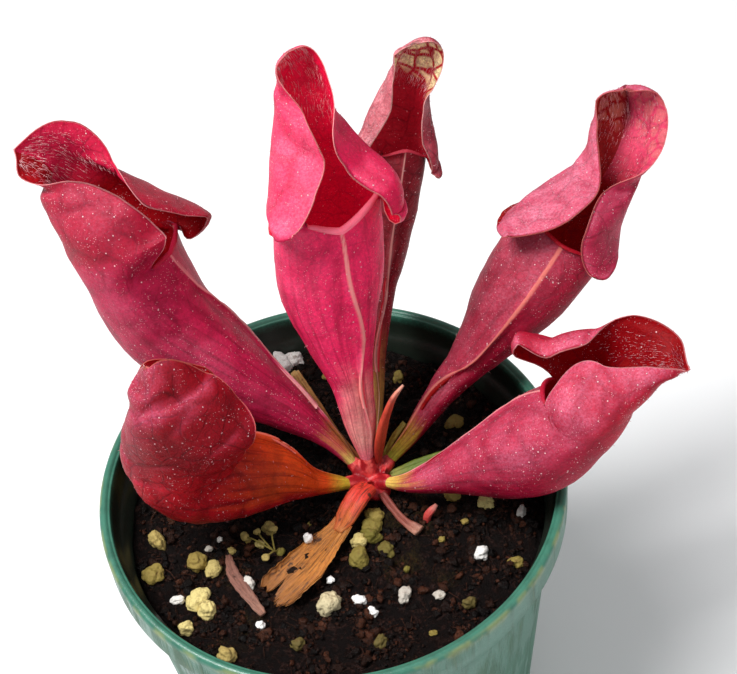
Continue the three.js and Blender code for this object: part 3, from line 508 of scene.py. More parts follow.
class LeafSheet:
    """The outer sheet of a pitcher, as points in millimetres, faces and values at each point."""

    ridge_width = 5         # degrees round the tube
    lean_width = 50         # degrees round the tube that the leaning ridge draws with it
    well_inside = 20.0      # added to the distance from the free edge where there is none
    lip_rows = 8
    lip_turn = 1.1          # half turns that the lip is rolled by

    def __init__(self, leaf, columns, rows, lip_roll):
        stations = leaf["tube"] + leaf["hood"]
        self.spine = np.array([row[:3] for row in stations], float)
        self.sizes = np.array([row[3:6] for row in stations], float)
        self.station_length = np.linalg.norm(np.diff(self.spine, axis=0), axis=1)
        self.mouth = len(leaf["tube"]) - 1
        self.last = len(stations) - 1
        self.leaf = leaf
        self.left, self.right = leaf["lip"]
        self.lean = leaf.get("lean", [0] * (self.mouth + 1))
        self.apex = self.lean[-1]
        self.points = []
        self.values = {"along": [], "turn": [], "edge": [], "ridge": [], "lip": [], "fold": []}
        self.faces = []
        self.count = 0
        self.lay_columns(columns)
        self.add_tube(rows)
        self.add_hood(rows)
        self.add_lip(lip_roll)
        self.points = np.concatenate(self.points)
        self.values = {name: np.concatenate(parts) for name, parts in self.values.items()}
        self.faces = np.concatenate(self.faces)

    def lay_columns(self, columns):
        """The angle of each column in degrees from the front, first round the lip and then round the back."""
        half_lip = round(columns * (self.left + self.right) / 720)
        self.lip_columns = 2 * half_lip
        back = columns - self.lip_columns
        half_back = back // 2
        self.angles = np.concatenate([
            np.linspace(-self.left, 0, half_lip, endpoint=False),
            np.linspace(0, self.right, half_lip, endpoint=False),
            np.linspace(self.right, 180, half_back, endpoint=False),
            np.linspace(180, 360 - self.left, back - half_back, endpoint=False),
        ])

    def add_points(self, grid, **values):
        """Adds a grid of points, rows by columns, and returns the grid of their indices."""
        shape = grid.shape[:2]
        self.points.append(grid.reshape(-1, 3))
        for name, parts in self.values.items():
            parts.append(np.broadcast_to(values.get(name, 0.0), shape).reshape(-1))
        indices = np.arange(self.count, self.count + shape[0] * shape[1]).reshape(shape)
        self.count += shape[0] * shape[1]
        return indices

    def add_faces(self, indices):
        for low, high in zip(indices[:-1], indices[1:]):
            self.faces.append(strip_faces(low, high))

    def length_between(self, at, end):
        reached = np.concatenate([[0], np.cumsum(self.station_length)])
        stations = range(len(reached))
        return np.abs(np.interp(end, stations, reached) - np.interp(at, stations, reached))

    def round_lip(self, angles):
        """How far round the lip an angle is: 0 at its lowest point, 1 at its ends, and more behind them."""
        return np.where(angles < self.apex, (self.apex - angles) / (self.left + self.apex),
                        (angles - self.apex) / (self.right - self.apex))

    def add_tube(self, rows):
        at = np.linspace(0, self.mouth, rows * self.mouth + 1)
        share = (at / self.mouth)[:, None]
        axes = leaf_axes(self.spine, self.leaf["facing"], at)
        wide, ahead, behind = curve_through(self.sizes, at).T
        signed = np.where(self.angles > 180, self.angles - 360, self.angles)[None, :]
        near_mouth = np.clip(at - (self.mouth - 1), 0, 1)[:, None] ** 2
        lean = curve_through(self.lean, at)[:, None]
        around = signed + lean * np.exp(-(signed / self.lean_width) ** 2) * (1 - near_mouth)
        x, y = oval(np.radians(around), wide, ahead, behind)

        # The ridge, which sways as it runs up the front
        height, wave_size, waves = self.leaf["wing"]
        ridge = np.exp(-((around - lean) / self.ridge_width) ** 2)
        reach = np.sin(np.pi * np.clip((share - 0.03) / 0.95, 0, 1)) ** 0.8
        wave = wave_size * np.sin(share * waves * 2 * np.pi) * np.sin(np.pi * share)
        y = y + height * reach * ridge
        x = x + wave * ridge

        # The mouth: its lip hangs at the middle, and runs straight down to there
        lip_share = self.round_lip(signed)
        within_lip = np.clip(lip_share, 0, 1)
        arch = np.where(lip_share < 1, 0.5 * (1 - within_lip) + 0.5 * np.cos(within_lip * np.pi / 2) ** 2, 0)
        straight = near_mouth * self.leaf.get("notch", 0) * (lip_share < 1)
        corner = np.radians(np.where(signed < self.apex, -self.left, self.right))
        middle_x = wide[:, None] * math.sin(math.radians(self.apex))
        middle_y = ahead[:, None] * math.cos(math.radians(self.apex))
        x = x + straight * (middle_x + (np.sin(corner) * wide[:, None] - middle_x) * lip_share - x)
        y = y + straight * (middle_y + (np.cos(corner) * ahead[:, None] - middle_y) * lip_share - y)
        grid = placed(axes, x, y, near_mouth * self.leaf["dip"] * arch)

        # The fold under each lobe of the hood that hangs down over the tube
        to_mouth = self.length_between(at, self.mouth)[:, None]
        edge = np.where(lip_share < 1, to_mouth, to_mouth + self.well_inside)
        beside = smoothstep(0.7, 1, lip_share) * (1 - smoothstep(1, 3, lip_share))
        rise_left, rise_right = (self.leaf["hood"][0][column] for column in (RISE_LEFT, RISE_RIGHT))
        beside = beside * np.clip(-np.where(signed < 0, rise_left, rise_right) / 4, 0, 1)
        fold = beside * np.exp(-((to_mouth - 0.7) / 1.1) ** 2)
        self.tube = self.add_points(
            grid, along=share * self.mouth / self.last, turn=around / 180, edge=edge,
            ridge=ridge * smoothstep(0.01, 0.08, share), fold=fold,
        )
        self.add_faces(np.concatenate([self.tube, self.tube[:, :1]], axis=1))

    def free_edge_shifts(self, step, closing):
        """How far the free edge is moved on the left and on the right, to the side, forward and up."""
        hood = self.leaf["hood"]
        still = (0, 0, 0)
        rising = step < 1
        lead = (1 - np.clip(1 - step, 0, 1) ** 2.2)[rising]
        round_tip = (np.sin(np.pi * np.clip(step, 0, 1)) ** 1.5)[:, None]
        shifts = []
        for first, rise, tip in ((8, RISE_LEFT, "tip_left"), (11, RISE_RIGHT, "tip_right")):
            shift = curve_through([still] + [row[first:first + 3] for row in hood], step)
            if hood[0][rise] < 0:
                shift[rising, 2] = np.minimum(shift[rising, 2], hood[0][rise] * lead)
            shifts.append(closing[:, None] * shift + round_tip * self.leaf.get(tip, still))
        return shifts

    def add_hood(self, rows):
        step = np.linspace(0, self.last - self.mouth, rows * (self.last - self.mouth) + 1)[1:]
        at = step + self.mouth
        axes = leaf_axes(self.spine, self.leaf["facing"], at)
        # How narrow the hood gets as it closes over the last 0.45 of a row
        closing = np.sqrt(1 - 0.92 * np.clip(1 - (step[-1] - step) / 0.45, 0, 1) ** 2)
        wide, ahead, behind = curve_through(self.sizes, at).T * closing
        slits = curve_through([(self.left, self.right)] + [row[6:8] for row in self.leaf["hood"]], step)
        edge_left, edge_right = self.free_edge_shifts(step, closing)
        none = [(0, 0, 0)] * len(self.leaf["hood"])
        curl_left = curve_through([(0, 0, 0)] + self.leaf.get("curl_left", none), step)
        curl_right = curve_through([(0, 0, 0)] + self.leaf.get("curl_right", none), step)
        rings = np.concatenate([self.angles[self.lip_columns:], [360 - self.left]])
        on_right = rings <= 180

        # Share runs from 0 at the slit's edge to 1 at the middle of the back
        share = np.where(on_right, (rings - self.right) / (180 - self.right),
                         (360 - self.left - rings) / (180 - self.left))
        slit = np.where(on_right[None, :], slits[:, 1:2], slits[:, 0:1])
        turn = np.radians(slit + share[None, :] * (180 - slit))
        x, y = oval(np.where(on_right[None, :], turn, -turn), wide, ahead, behind)

        def on_side(right, left):
            return np.where(on_right[None, :, None], right[:, None], left[:, None])

        # A moved edge draws three quarters of its side of the hood with it, and a curl less than half
        pull = np.clip(1 - (share / 0.75) ** 2, 0, 1) ** 2
        bend = np.clip(1 - share / 0.4, 0, 1) ** 1.5
        shift = on_side(edge_right, edge_left) * pull[None, :, None]
        shift = shift + on_side(curl_right, curl_left) * bend[None, :, None]

        # The cleft down the back, and the notch that it makes in the top
        depth, notch = self.leaf.get("cleft", (0, 0))
        height = step / step[-1]
        fold = np.exp(-((1 - share) / 0.1) ** 2)[None, :] * smoothstep(0.35, 0.8, height)[:, None]
        rise = shift[..., 2] - notch * fold * smoothstep(0.7, 1, height)[:, None]
        grid = placed(axes, x + shift[..., 0], y + shift[..., 1] - depth * fold, rise)
        spread = np.linalg.norm(np.diff(grid, axis=1), axis=2)
        reached = np.concatenate([np.zeros((len(grid), 1)), np.cumsum(spread, axis=1)], axis=1)
        to_edge = np.minimum(reached, reached[:, -1:] - reached)
        to_tip = self.length_between(at, self.last)[:, None]
        signed = np.where(rings > 180, rings - 360, rings)[None, :]
        new = self.add_points(
            grid, along=(at / self.last)[:, None], turn=signed / 180, edge=np.minimum(to_edge, to_tip),
            fold=fold * min(1, depth),
        )
        ring = np.concatenate([self.tube[-1, self.lip_columns:], self.tube[-1, :1]])
        self.hood = np.concatenate([ring[None], new])
        self.add_faces(self.hood)

    def add_lip(self, radius):
        mouth = np.array([float(self.mouth)])
        _, up, front, side = (part[0] for part in leaf_axes(self.spine, self.leaf["facing"], mouth))
        mouth_row = self.tube[-1, :self.lip_columns + 1]
        base = np.concatenate(self.points)[mouth_row[1:-1]]
        angles = self.angles[1:self.lip_columns]
        radii = (radius * np.cos(self.round_lip(angles) * np.pi / 2) ** 0.5)[:, None]
        turn = np.radians(angles)[:, None]
        outward = np.sin(turn) * side + np.cos(turn) * front
        grid = []
        for n in range(1, self.lip_rows + 1):
            roll = math.pi * self.lip_turn * n / self.lip_rows
            grid.append(base + radii * ((1 - math.cos(roll)) * outward + math.sin(roll) * up))
        new = self.add_points(np.array(grid), along=self.mouth / self.last, turn=angles / 180, lip=1.0)
        ends = np.repeat(mouth_row[[0, -1]][None], self.lip_rows, axis=0)
        self.lip = np.concatenate([mouth_row[None], np.concatenate([ends[:, :1], new, ends[:, 1:]], axis=1)])
        self.add_faces(self.lip)

    def border(self):
        """The free edge as a loop of point indices: the lip, up one side of the slit, and down the other."""
        return np.concatenate([
            self.lip[-1], self.hood[1:, 0], self.hood[-1, 1:-1], self.hood[1:, -1][::-1],
        ])


def link_object(obj):
    bpy.context.scene.collection.objects.link(obj)
    return obj


def make_piece(name, points, faces, material, values=None, smooth=True):
    """A mesh object from points in millimetres, with float values at its points."""
    mesh = bpy.data.meshes.new(name)
    mesh.from_pydata([tuple(p) for p in np.asarray(points, float) * MM], [], [tuple(f) for f in faces])
    mesh.update()
    for key, numbers in (values or {}).items():
        mesh.attributes.new(key, "FLOAT", "POINT").data.foreach_set("value", np.asarray(numbers, np.float32))
    if smooth:
        mesh.polygons.foreach_set("use_smooth", [True] * len(mesh.polygons))
    mesh.materials.append(material)
    return link_object(bpy.data.objects.new(name, mesh))


def drop_flat_corners(faces):
    """Faces as lists of indices, with a corner that is used twice left out."""
    kept = []
    for face in faces.tolist():
        corners = [c for n, c in enumerate(face) if c != face[n - 1]]
        if len(corners) > 2:
            kept.append(corners)
    return kept


def thick_sheet(sheet, wall, relief):
    """The points, faces and values of a pitcher's wall, closed all round, and its sheet's normals."""
    puff, cell = relief
    points, faces = sheet.points, sheet.faces
    normals = point_normals(points, faces)
    along, edge, lip = sheet.values["along"], sheet.values["edge"], sheet.values["lip"]
    cell_walls = cells(points, cell, seed=len(points) % 7)
    fade = smoothstep(0.02, 0.15, along) * smoothstep(0.3, 4, edge) * (1 - lip)
    swell = puff * (np.clip(cell_walls / 0.35, 0, 1) ** 0.6 - 0.6) * fade
    wobble = WOBBLE * bumps(points, WOBBLE_SIZE, seed=3) * smoothstep(0.05, 0.3, along) * (1 - lip)
    on_tube = along < sheet.mouth / sheet.last + 0.001
    crease = -CREASE * sheet.values["fold"] * on_tube
    outer = points + normals * (swell + wobble + crease)[:, None]
    walls = wall * (THIN_EDGE + (1 - THIN_EDGE) * smoothstep(0, 4, edge))[:, None]
    inner = outer - normals * walls

    # The rounded rim between the two skins
    border = sheet.border()
    count = len(points)
    tangent = unit(np.roll(outer[border], -1, axis=0) - np.roll(outer[border], 1, axis=0))
    outward = unit(np.cross(normals[border], tangent))
    rim = (outer[border] + inner[border]) / 2 + outward * walls[border] * 0.5
    rim_index = np.arange(2 * count, 2 * count + len(border))
    loop = np.arange(len(border) + 1) % len(border)
    outer_strip = strip_faces(rim_index[loop], border[loop])
    inner_strip = strip_faces((border + count)[loop], rim_index[loop])

    # The lowest part of the tube is solid, so it has no inner skin
    solid_rows = int(SOLID_STATIONS * (sheet.tube.shape[0] - 1) / sheet.mouth)
    hidden = np.zeros(count, bool)
    hidden[sheet.tube[:solid_rows].reshape(-1)] = True
    inner_faces = faces[~hidden[faces].any(axis=1)][:, ::-1] + count
    all_faces = drop_flat_corners(np.concatenate([faces, inner_faces, outer_strip, inner_strip]))
    all_faces.append(sheet.tube[0][::-1].tolist())
    all_faces.append((sheet.tube[solid_rows] + count).tolist())
    values = {}
    for name, numbers in sheet.values.items():
        values[name] = np.concatenate([numbers, numbers, numbers[border]])
    furrow = (1 - np.clip(cell_walls / 0.16, 0, 1)) * fade
    values["furrow"] = np.concatenate([furrow, np.zeros(count + len(border))])
    values["inner"] = np.concatenate([np.zeros(count), np.ones(count), np.full(len(border), 0.5)])
    return np.concatenate([outer, inner, rim]), all_faces, values, normals


def srgb(code):
    """Linear colour, with alpha, of an sRGB hex code."""
    channels = [int(code[n:n + 2], 16) / 255 for n in (0, 2, 4)]
    return tuple(c / 12.92 if c <= 0.04045 else ((c + 0.055) / 1.055) ** 2.4 for c in channels) + (1,)


def put(tree, kind, feeds=None, **settings):
    """Adds a node, with its settings, and feeds its inputs with signals or plain values."""
    node = tree.nodes.new(kind)
    for key, value in settings.items():
        setattr(node, key, value)
    for socket, value in (feeds or {}).items():
        if isinstance(value, Signal):
            tree.links.new(value.socket, node.inputs[socket])
        else:
            node.inputs[socket].default_value = value
    return node


class Signal:
    """A number, colour or vector in a shader tree, which sums and products can be written with."""

    def __init__(self, node, output=0):
        self.tree = node.id_data
        self.socket = node.outputs[output]

    def sent_to(self, socket):
        self.tree.links.new(self.socket, socket)

    def combined(self, operation, first, second, clamp=False):
        feeds = {0: first, 1: second}
        return Signal(put(self.tree, "ShaderNodeMath", feeds, operation=operation, use_clamp=clamp))

    def __add__(self, other):
        return self.combined("ADD", self, other)

    def __sub__(self, other):
        return self.combined("SUBTRACT", self, other)

    def __rsub__(self, other):
        return self.combined("SUBTRACT", other, self)

    def __mul__(self, other):
        return self.combined("MULTIPLY", self, other)

    def __truediv__(self, other):
        return self.combined("DIVIDE", self, other)

    def at_least(self, other):
        return self.combined("MAXIMUM", self, other)


def ramp(value, low, high):
    """Zero below low and one above high, or the other way round if low is above high."""
    feeds = {"Value": value, "From Min": min(low, high), "From Max": max(low, high)}
    if low > high:
        feeds.update({"To Min": 1.0, "To Max": 0.0})
    return Signal(put(value.tree, "ShaderNodeMapRange", feeds, interpolation_type="SMOOTHSTEP", clamp=True))


def blend(share, low, high, mode="MIX"):
    """The colour low where share is zero, and high where it is one."""
    tree = next(part.tree for part in (share, low, high) if isinstance(part, Signal))
    feeds = {MIX_SHARE: share, MIX_LOW: low, MIX_HIGH: high}
    return Signal(put(tree, "ShaderNodeMix", feeds, data_type="RGBA", blend_type=mode, clamp_factor=True),
                  MIX_RESULT)


def grain(place, scale, detail=3.0, roughness=0.55, distortion=0.0):
    """Cloudy noise with so many features a metre."""
    feeds = {
        "Vector": place, "Scale": scale, "Detail": detail, "Roughness": roughness, "Distortion": distortion,
    }
    return Signal(put(place.tree, "ShaderNodeTexNoise", feeds), "Fac")


def grey(value):
    return Signal(put(value.tree, "ShaderNodeCombineColor", {0: value, 1: value, 2: value}))


def flat_place(x, y):
    """A place for a texture that is laid out by two numbers."""
    return Signal(put(x.tree, "ShaderNodeCombineXYZ", {0: x, 1: y}))


def axis_of(vector, axis):
    """One of a vector's numbers: 0 is x, 1 is y and 2 is z."""
    return Signal(put(vector.tree, "ShaderNodeSeparateXYZ", {0: vector}), axis)


def values_at(tree, *names):
    """The values at the points of the mesh that have these names."""
    return [Signal(put(tree, "ShaderNodeAttribute", attribute_name=name), "Fac") for name in names]


def object_place(tree):
    return Signal(put(tree, "ShaderNodeTexCoord"), "Object")


def new_group(name, inputs, outputs):
    """A shader node group with named sockets, the signals that come in, and the sockets that go out."""
    group = bpy.data.node_groups.new(name, "ShaderNodeTree")
    for label, kind in inputs.items():
        group.interface.new_socket(name=label, in_out="INPUT", socket_type=kind)
    for label, kind in outputs.items():
        group.interface.new_socket(name=label, in_out="OUTPUT", socket_type=kind)
    source = group.nodes.new("NodeGroupInput")
    given = {label: Signal(source, label) for label in inputs}
    return group, given, group.nodes.new("NodeGroupOutput").inputs


def use_group(tree, group, feeds):
    return put(tree, "ShaderNodeGroup", feeds, node_tree=group)


COLOUR = "NodeSocketColor"
NUMBER = "NodeSocketFloat"
VECTOR = "NodeSocketVector"

# A mix node has a set of sockets for each kind of data, and these are the ones for colours
MIX_SHARE, MIX_LOW, MIX_HIGH, MIX_RESULT = 0, 6, 7, 2

# The shader's inputs by plainer names. Depth is how light spreads under the surface, and the emission colour
# paints light onto a surface that is no lamp.
SHADER_INPUTS = {
    "colour": "Base Color", "roughness": "Roughness", "shine": "Specular IOR Level",
    "glow": "Emission Color", "glow_strength": "Emission Strength",
    "depth_share": "Subsurface Weight", "depth_colours": "Subsurface Radius", "depth": "Subsurface Scale",
}

# What the skin of every pitcher takes: its colours, then how strong its markings are
LEAF_COLOURS = ["Base", "Foot", "Belly", "Bloom", "Hood", "Inside", "Inside Right", "Veins", "Edge", "Lip"]
LEAF_NUMBERS = ["Net", "Bloom Share", "Tube Bloom", "Specks", "Foot Share", "Glow"]

# The way that the skin with the most waxy bloom and painted sheen faces: up, to the left and a little
# forward, near the key light
BLOOM_AND_SHEEN_SIDE = (-0.42, -0.3, 0.86)


def speck_group():
    """Round specks, so many cells a metre. Share is how many cells have one, and size its width."""
    group, given, out = new_group(
        "Specks", {"Place": VECTOR, "Scale": NUMBER, "Share": NUMBER, "Size": NUMBER}, {"Mask": NUMBER})
    spots = put(group, "ShaderNodeTexVoronoi", {"Vector": given["Place"], "Scale": given["Scale"]})
    draw = Signal(put(group, "ShaderNodeSeparateColor", {0: Signal(spots, "Color")}))
    chosen = draw.combined("LESS_THAN", draw, given["Share"])
    near = Signal(spots, "Distance") / given["Size"]
    (ramp(near, 1.0, 0.5) * chosen).sent_to(out["Mask"])
    return group


def net_group():
    """A net of veins: one coarse and one fine set of cell walls, broken up by noise."""
    group, given, out = new_group(
        "Vein Net", {"Place": VECTOR, "Scale": NUMBER, "Width": NUMBER}, {"Mask": NUMBER, "Cells": NUMBER})
    place, scale = given["Place"], given["Scale"]
    bend_size = 0.0016
    bend = put(group, "ShaderNodeTexNoise", {"Vector": place, "Scale": scale, "Detail": 2.0})
    bent = Signal(put(group, "ShaderNodeVectorMath", {
        0: Signal(bend, "Color"), 1: (bend_size, bend_size, bend_size), 2: place}, operation="MULTIPLY_ADD"))

    def wall_distance(scale):
        feeds = {"Vector": bent, "Scale": scale}
        return Signal(put(group, "ShaderNodeTexVoronoi", feeds, feature="DISTANCE_TO_EDGE"), "Distance")

    def wall_line(distance):
        return distance.combined("SUBTRACT", 1.0, distance / given["Width"], clamp=True)

    coarse = wall_distance(scale)
    fine = wall_distance(scale * 2.6)
    both = wall_line(coarse).at_least(wall_line(fine) * 0.55)
    (both * ramp(grain(place, 260.0), 0.3, 0.55)).sent_to(out["Mask"])
    ramp(coarse, 0.04, 0.16).sent_to(out["Cells"])
    return group


def leaf_group(name, specks, net, windowed):
    """The skin of a pitcher, from the colours of its parts and how strong each marking is.
    A windowed skin also has the pale cells inside the hood that let the light through."""
    colours = LEAF_COLOURS + ["Window"] * windowed
    numbers = LEAF_NUMBERS + ["Windows"] * windowed
    group, given, out = new_group(
        name, {label: COLOUR for label in colours} | {label: NUMBER for label in numbers},
        {"Color": COLOUR, "Roughness": NUMBER, "Height": NUMBER, "Glow": COLOUR})
    place = object_place(group)
    along, turn, edge, inner = values_at(group, "along", "turn", "edge", "inner")
    ridge, furrow, fold, lip = values_at(group, "ridge", "furrow", "fold", "lip")
    normal = Signal(put(group, "ShaderNodeTexCoord"), "Normal")
    fine = grain(place, 1300.0, 4.0, 0.8)
    length_lines = grain(flat_place(turn * 11.0, along * 2.4), 1.9, 2.5, 0.6)

    # Colours from the foot up to the hood
    reach = along + (grain(place, 90.0, 2.0) * 0.16 - 0.08)
    # Painted shade: skin that faces down takes the darker belly colour sooner
    shaded_underside = ramp(axis_of(normal, 2), 0.35, -0.25)
    above_foot = (length_lines * 0.14 + (reach - 0.07)) / given["Foot Share"] + shaded_underside * 0.6
    skin = blend(ramp(along, 0.075, 0.02), given["Foot"], given["Base"])
    skin = blend(ramp(above_foot, 0.3, 1.15), skin, given["Belly"])
    skin = blend(ramp(reach, 0.42, 0.6), skin, given["Hood"])

    # Veins, furrows and mottling, and painted shade in the folds under the lobes and down the hood's cleft
    streaks = ramp(length_lines, 0.47, 0.66) * ramp(along, 0.5, 0.3)
    skin = blend(streaks * 0.45, skin, given["Veins"])
    veins = Signal(use_group(group, net, {"Place": place, "Scale": 170.0, "Width": 0.05}), "Mask")
    web = veins * given["Net"] * ramp(along, 0.12, 0.5)
    skin = blend(web, skin, given["Veins"])
    # Real dark veins in the furrows, and painted shade in the folds
    dark = (furrow * 0.38).at_least(fold * 0.9)
    skin = blend(dark, skin, given["Veins"])
    mottle = grey(fine * 2.4 - 0.2)
    skin = blend(0.5, skin, mottle, "MULTIPLY")

    # Waxy bloom with painted sheen on what faces up and to the left, toward the key light
    product = put(group, "ShaderNodeVectorMath", {0: normal, 1: BLOOM_AND_SHEEN_SIDE}, operation="DOT_PRODUCT")
    facing = Signal(product, "Value")
    cloud = ramp(grain(place, 150.0, 3.0), 0.35, 0.65) * 0.5 + 0.5
    stipple = ramp(grain(place, 1900.0, 3.0, 0.7), 0.38, 0.62) * 0.6 + 0.5
    hood_share = ramp(along, 0.42, 0.52)
    share = given["Tube Bloom"] * (1.0 - hood_share) + given["Bloom Share"] * hood_share
    bloom = ramp(facing, 0.35, 1.05) * cloud * share * stipple * ramp(above_foot, 0.4, 1.3)
    skin = blend(bloom * (1.0 - dark), skin, given["Bloom"])

    # The inside of the tube and of the hood. Inside the hood, the right half can take a lighter, lit copy of
    # the inside colour as painted light, and the left half keeps the darker one as painted shade
    lit_and_shaded_halves = blend(ramp(turn, -0.02, 0.02), given["Inside"], given["Inside Right"])
    within = blend(ramp(along, 0.6, 0.8), given["Inside"], lit_and_shaded_halves)
    within = blend(0.5, within, mottle, "MULTIPLY")
    # Inside, the folds are darkened too, as painted shade
    inner_veins_and_fold_shade = (veins * 0.45).at_least(fold)
    if windowed:
        panes = use_group(group, net, {"Place": place, "Scale": 270.0, "Width": 0.09})
        pane = Signal(panes, "Cells") * given["Windows"] * ramp(reach, 0.74, 0.84)
        pane = pane * (ramp(fine, 0.35, 0.5) * 0.35 + 0.65)
        within = blend(pane, within, given["Window"])
        small_net = Signal(use_group(group, net, {"Place": place, "Scale": 640.0, "Width": 0.12}), "Mask")
        pane_net = (Signal(panes, "Mask") * 0.7).at_least(small_net)
        inner_veins_and_fold_shade = inner_veins_and_fold_shade.at_least(pane_net * pane * 0.8)
    within = blend(inner_veins_and_fold_shade, within, given["Veins"])
    inside = ramp(inner, 0.6, 0.95)
    skin = blend(inside, skin, within)

    # Pale specks, then the lip, the ridge and the free edge
    dots = Signal(use_group(group, specks, {"Place": place, "Scale": 900.0, "Share": 0.2, "Size": 0.2}))
    dust = Signal(use_group(group, specks, {"Place": place, "Scale": 2600.0, "Share": 0.35, "Size": 0.3}))
    patch = ramp(grain(place, 240.0, 3.0), 0.42, 0.6)
    pale = dots.at_least(dust * patch * 0.6) * given["Specks"]
    skin = blend(pale * ramp(above_foot, 0.4, 1.2), skin, srgb("F4C8CC"))
    skin = blend(lip * 0.85, skin, given["Lip"])
    free = ramp(edge, 0.32, 0.1) * (1.0 - lip)
    skin = blend(ramp(ridge, 0.6, 0.92).at_least(free * 0.75) * 0.75, skin, given["Edge"])

    skin.sent_to(out["Color"])
    (pale * 0.25 + (fine * 0.3 + 0.3)).sent_to(out["Roughness"])
    (dots * given["Specks"] * 0.7 + (web * -0.5 + fine * 0.7)).sent_to(out["Height"])
    # Painted light: the inside colour is given off as emission, standing in for light through the thin wall
    blend(inside * given["Glow"], (0, 0, 0, 1), within).sent_to(out["Glow"])
    return group


def new_material(name):
    """A material, with its node tree and its main shader."""
    material = bpy.data.materials.new(name)
    material.use_nodes = True
    return material, material.node_tree, material.node_tree.nodes["Principled BSDF"]


def set_shader(shader, **values):
    """Feeds the shader's inputs, given in small letters with underscores, with signals or values."""
    for name, value in values.items():
        socket = shader.inputs[SHADER_INPUTS[name]]
        if isinstance(value, Signal):
            value.sent_to(socket)
        else:
            socket.default_value = value


def rough_up(shader, height, distance):
    """Feeds a height to the shader's normal, as a bump so many metres high."""
    bump = put(height.tree, "ShaderNodeBump", {"Height": height, "Strength": 1.0, "Distance": distance})
    Signal(bump).sent_to(shader.inputs["Normal"])


def pitcher_material(name, look, skin_group):
    """Skin of one pitcher. Its inside gives off a little painted light, an emission that stands in for light
    coming through its thin wall.
    """
    material, tree, shader = new_material(f"Pitcher skin {name}")
    skin = use_group(tree, skin_group, {})
    for socket in skin.inputs:
        value = look[socket.name.lower().replace(" ", "_")]
        socket.default_value = srgb(value) if isinstance(value, str) else value
    set_shader(
        shader, colour=Signal(skin, "Color"), roughness=Signal(skin, "Roughness"), glow=Signal(skin, "Glow"),
        glow_strength=0.28, depth_share=0.2, depth_colours=(1.0, 0.12, 0.14), depth=0.002, shine=0.12)
    rough_up(shader, Signal(skin, "Height"), 0.0003)
    return material


def hair_material():
    material, tree, shader = new_material("Pale hairs")
    tone = ramp(grain(object_place(tree), 400.0), 0.35, 0.65)
    set_shader(shader, colour=blend(tone, srgb("C4586A"), srgb("F0BCC0")), roughness=0.4)
    return material


def hairs_on(roots, directions, lifts, lengths, radius, rng):
    """Thin curved hairs, as points and faces. Each lifts off the skin and bends over along it."""
    points, faces = [], []
    steps, sides = 3, 3
    for root, direction, normal, length in zip(roots, directions, lifts, lengths):
        along = Vector(direction).normalized()
        lift = Vector(normal).normalized()
        sway = Vector((rng.uniform(-1, 1), rng.uniform(-1, 1), rng.uniform(-1, 1))) * 0.25
        start = len(points)
        across = along.cross(lift).normalized()
        for n in range(steps + 1):
            t = n / steps
            bend = lift * (0.75 * t - 0.35 * t * t) + (along + sway) * (0.75 * t * t + 0.2 * t)
            middle = Vector(root) + length * bend
            thick = radius * (1 - 0.85 * t)
            for k in range(sides):
                angle = 2 * math.pi * k / sides
                points.append(middle + thick * (math.cos(angle) * across + math.sin(angle) * lift))
        for n in range(steps):
            for k in range(sides):
                a, b = start + sides * n + k, start + sides * n + (k + 1) % sides
                faces.append((a, b, b + sides, a + sides))
        faces.append((start + 2, start + 1, start))
        tip = start + sides * steps
        faces.append((tip, tip + 1, tip + 2))
    return points, faces


def hood_hair_places(sheet, points, normals, count, size, rng):
    """Roots, directions, lifts and lengths of the stiff hairs inside a hood, which point down into it."""
    hood = sheet.hood
    rows, columns = hood.shape
    roots, directions, lifts, lengths = [], [], [], []
    for _ in range(count):
        row = int(rows * (0.42 + 0.54 * rng.random()))
        column = int(columns * (0.14 + 0.72 * rng.random()))
        index = hood[min(row, rows - 2), column]
        below = hood[min(row, rows - 2) - 1, column]
        if sheet.values["edge"][index] < 1:
            continue
        roots.append(points[index + len(sheet.points)])
        directions.append(sheet.points[below] - sheet.points[index])
        lifts.append(-normals[index])
        lengths.append(rng.uniform(0.8, 1.7) * size)
    return roots, directions, lifts, lengths


def skin_hair_places(sheet, points, normals, count, rng):
    """Roots, directions, lifts and lengths of the short hairs on the outside, which point any way."""
    roots, directions, lifts, lengths = [], [], [], []
    for _ in range(count):
        index = rng.randrange(len(sheet.points))
        if sheet.values["along"][index] < 0.12 or sheet.values["lip"][index] > 0:
            continue
        roots.append(points[index])
        directions.append(np.array([rng.uniform(-1, 1) for _ in range(3)]))
        lifts.append(normals[index])
        lengths.append(rng.uniform(0.25, 0.6))
    return roots, directions, lifts, lengths


def build_pitcher(name, skin_group, hair_skin, sizes):
    """One pitcher, with its hood hairs and skin hairs as a piece of their own."""
    look = LEAF_LOOKS[name]
    rng = random.Random(sum(map(ord, name)))
    sheet = LeafSheet(PITCHERS[name], sizes.columns, sizes.rows, look["roll"] * sizes.lip_roll / MM)
    points, faces, values, normals = thick_sheet(sheet, sizes.wall / MM, look["relief"])
    skin = pitcher_material(name, look, skin_group)
    piece = make_piece(f"pitcher_{name}_leaf", points, faces, skin, values)
    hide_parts(f"pitcher_{name}")
    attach(piece, "root")
    hood_places = hood_hair_places(sheet, points, normals, sizes.hood_hairs, look["hood_hair"], rng)
    hood_hairs = hairs_on(*hood_places, 0.05, rng)
    skin_places = skin_hair_places(sheet, points, normals, sizes.skin_hairs, rng)
    skin_hairs = hairs_on(*skin_places, 0.075, rng)
    hair_points, hair_faces, _ = joined([(*hood_hairs, {}), (*skin_hairs, {})])
    hairs = make_piece(f"pitcher_{name}_hairs", hair_points, hair_faces, hair_skin)
    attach(hairs, "root")


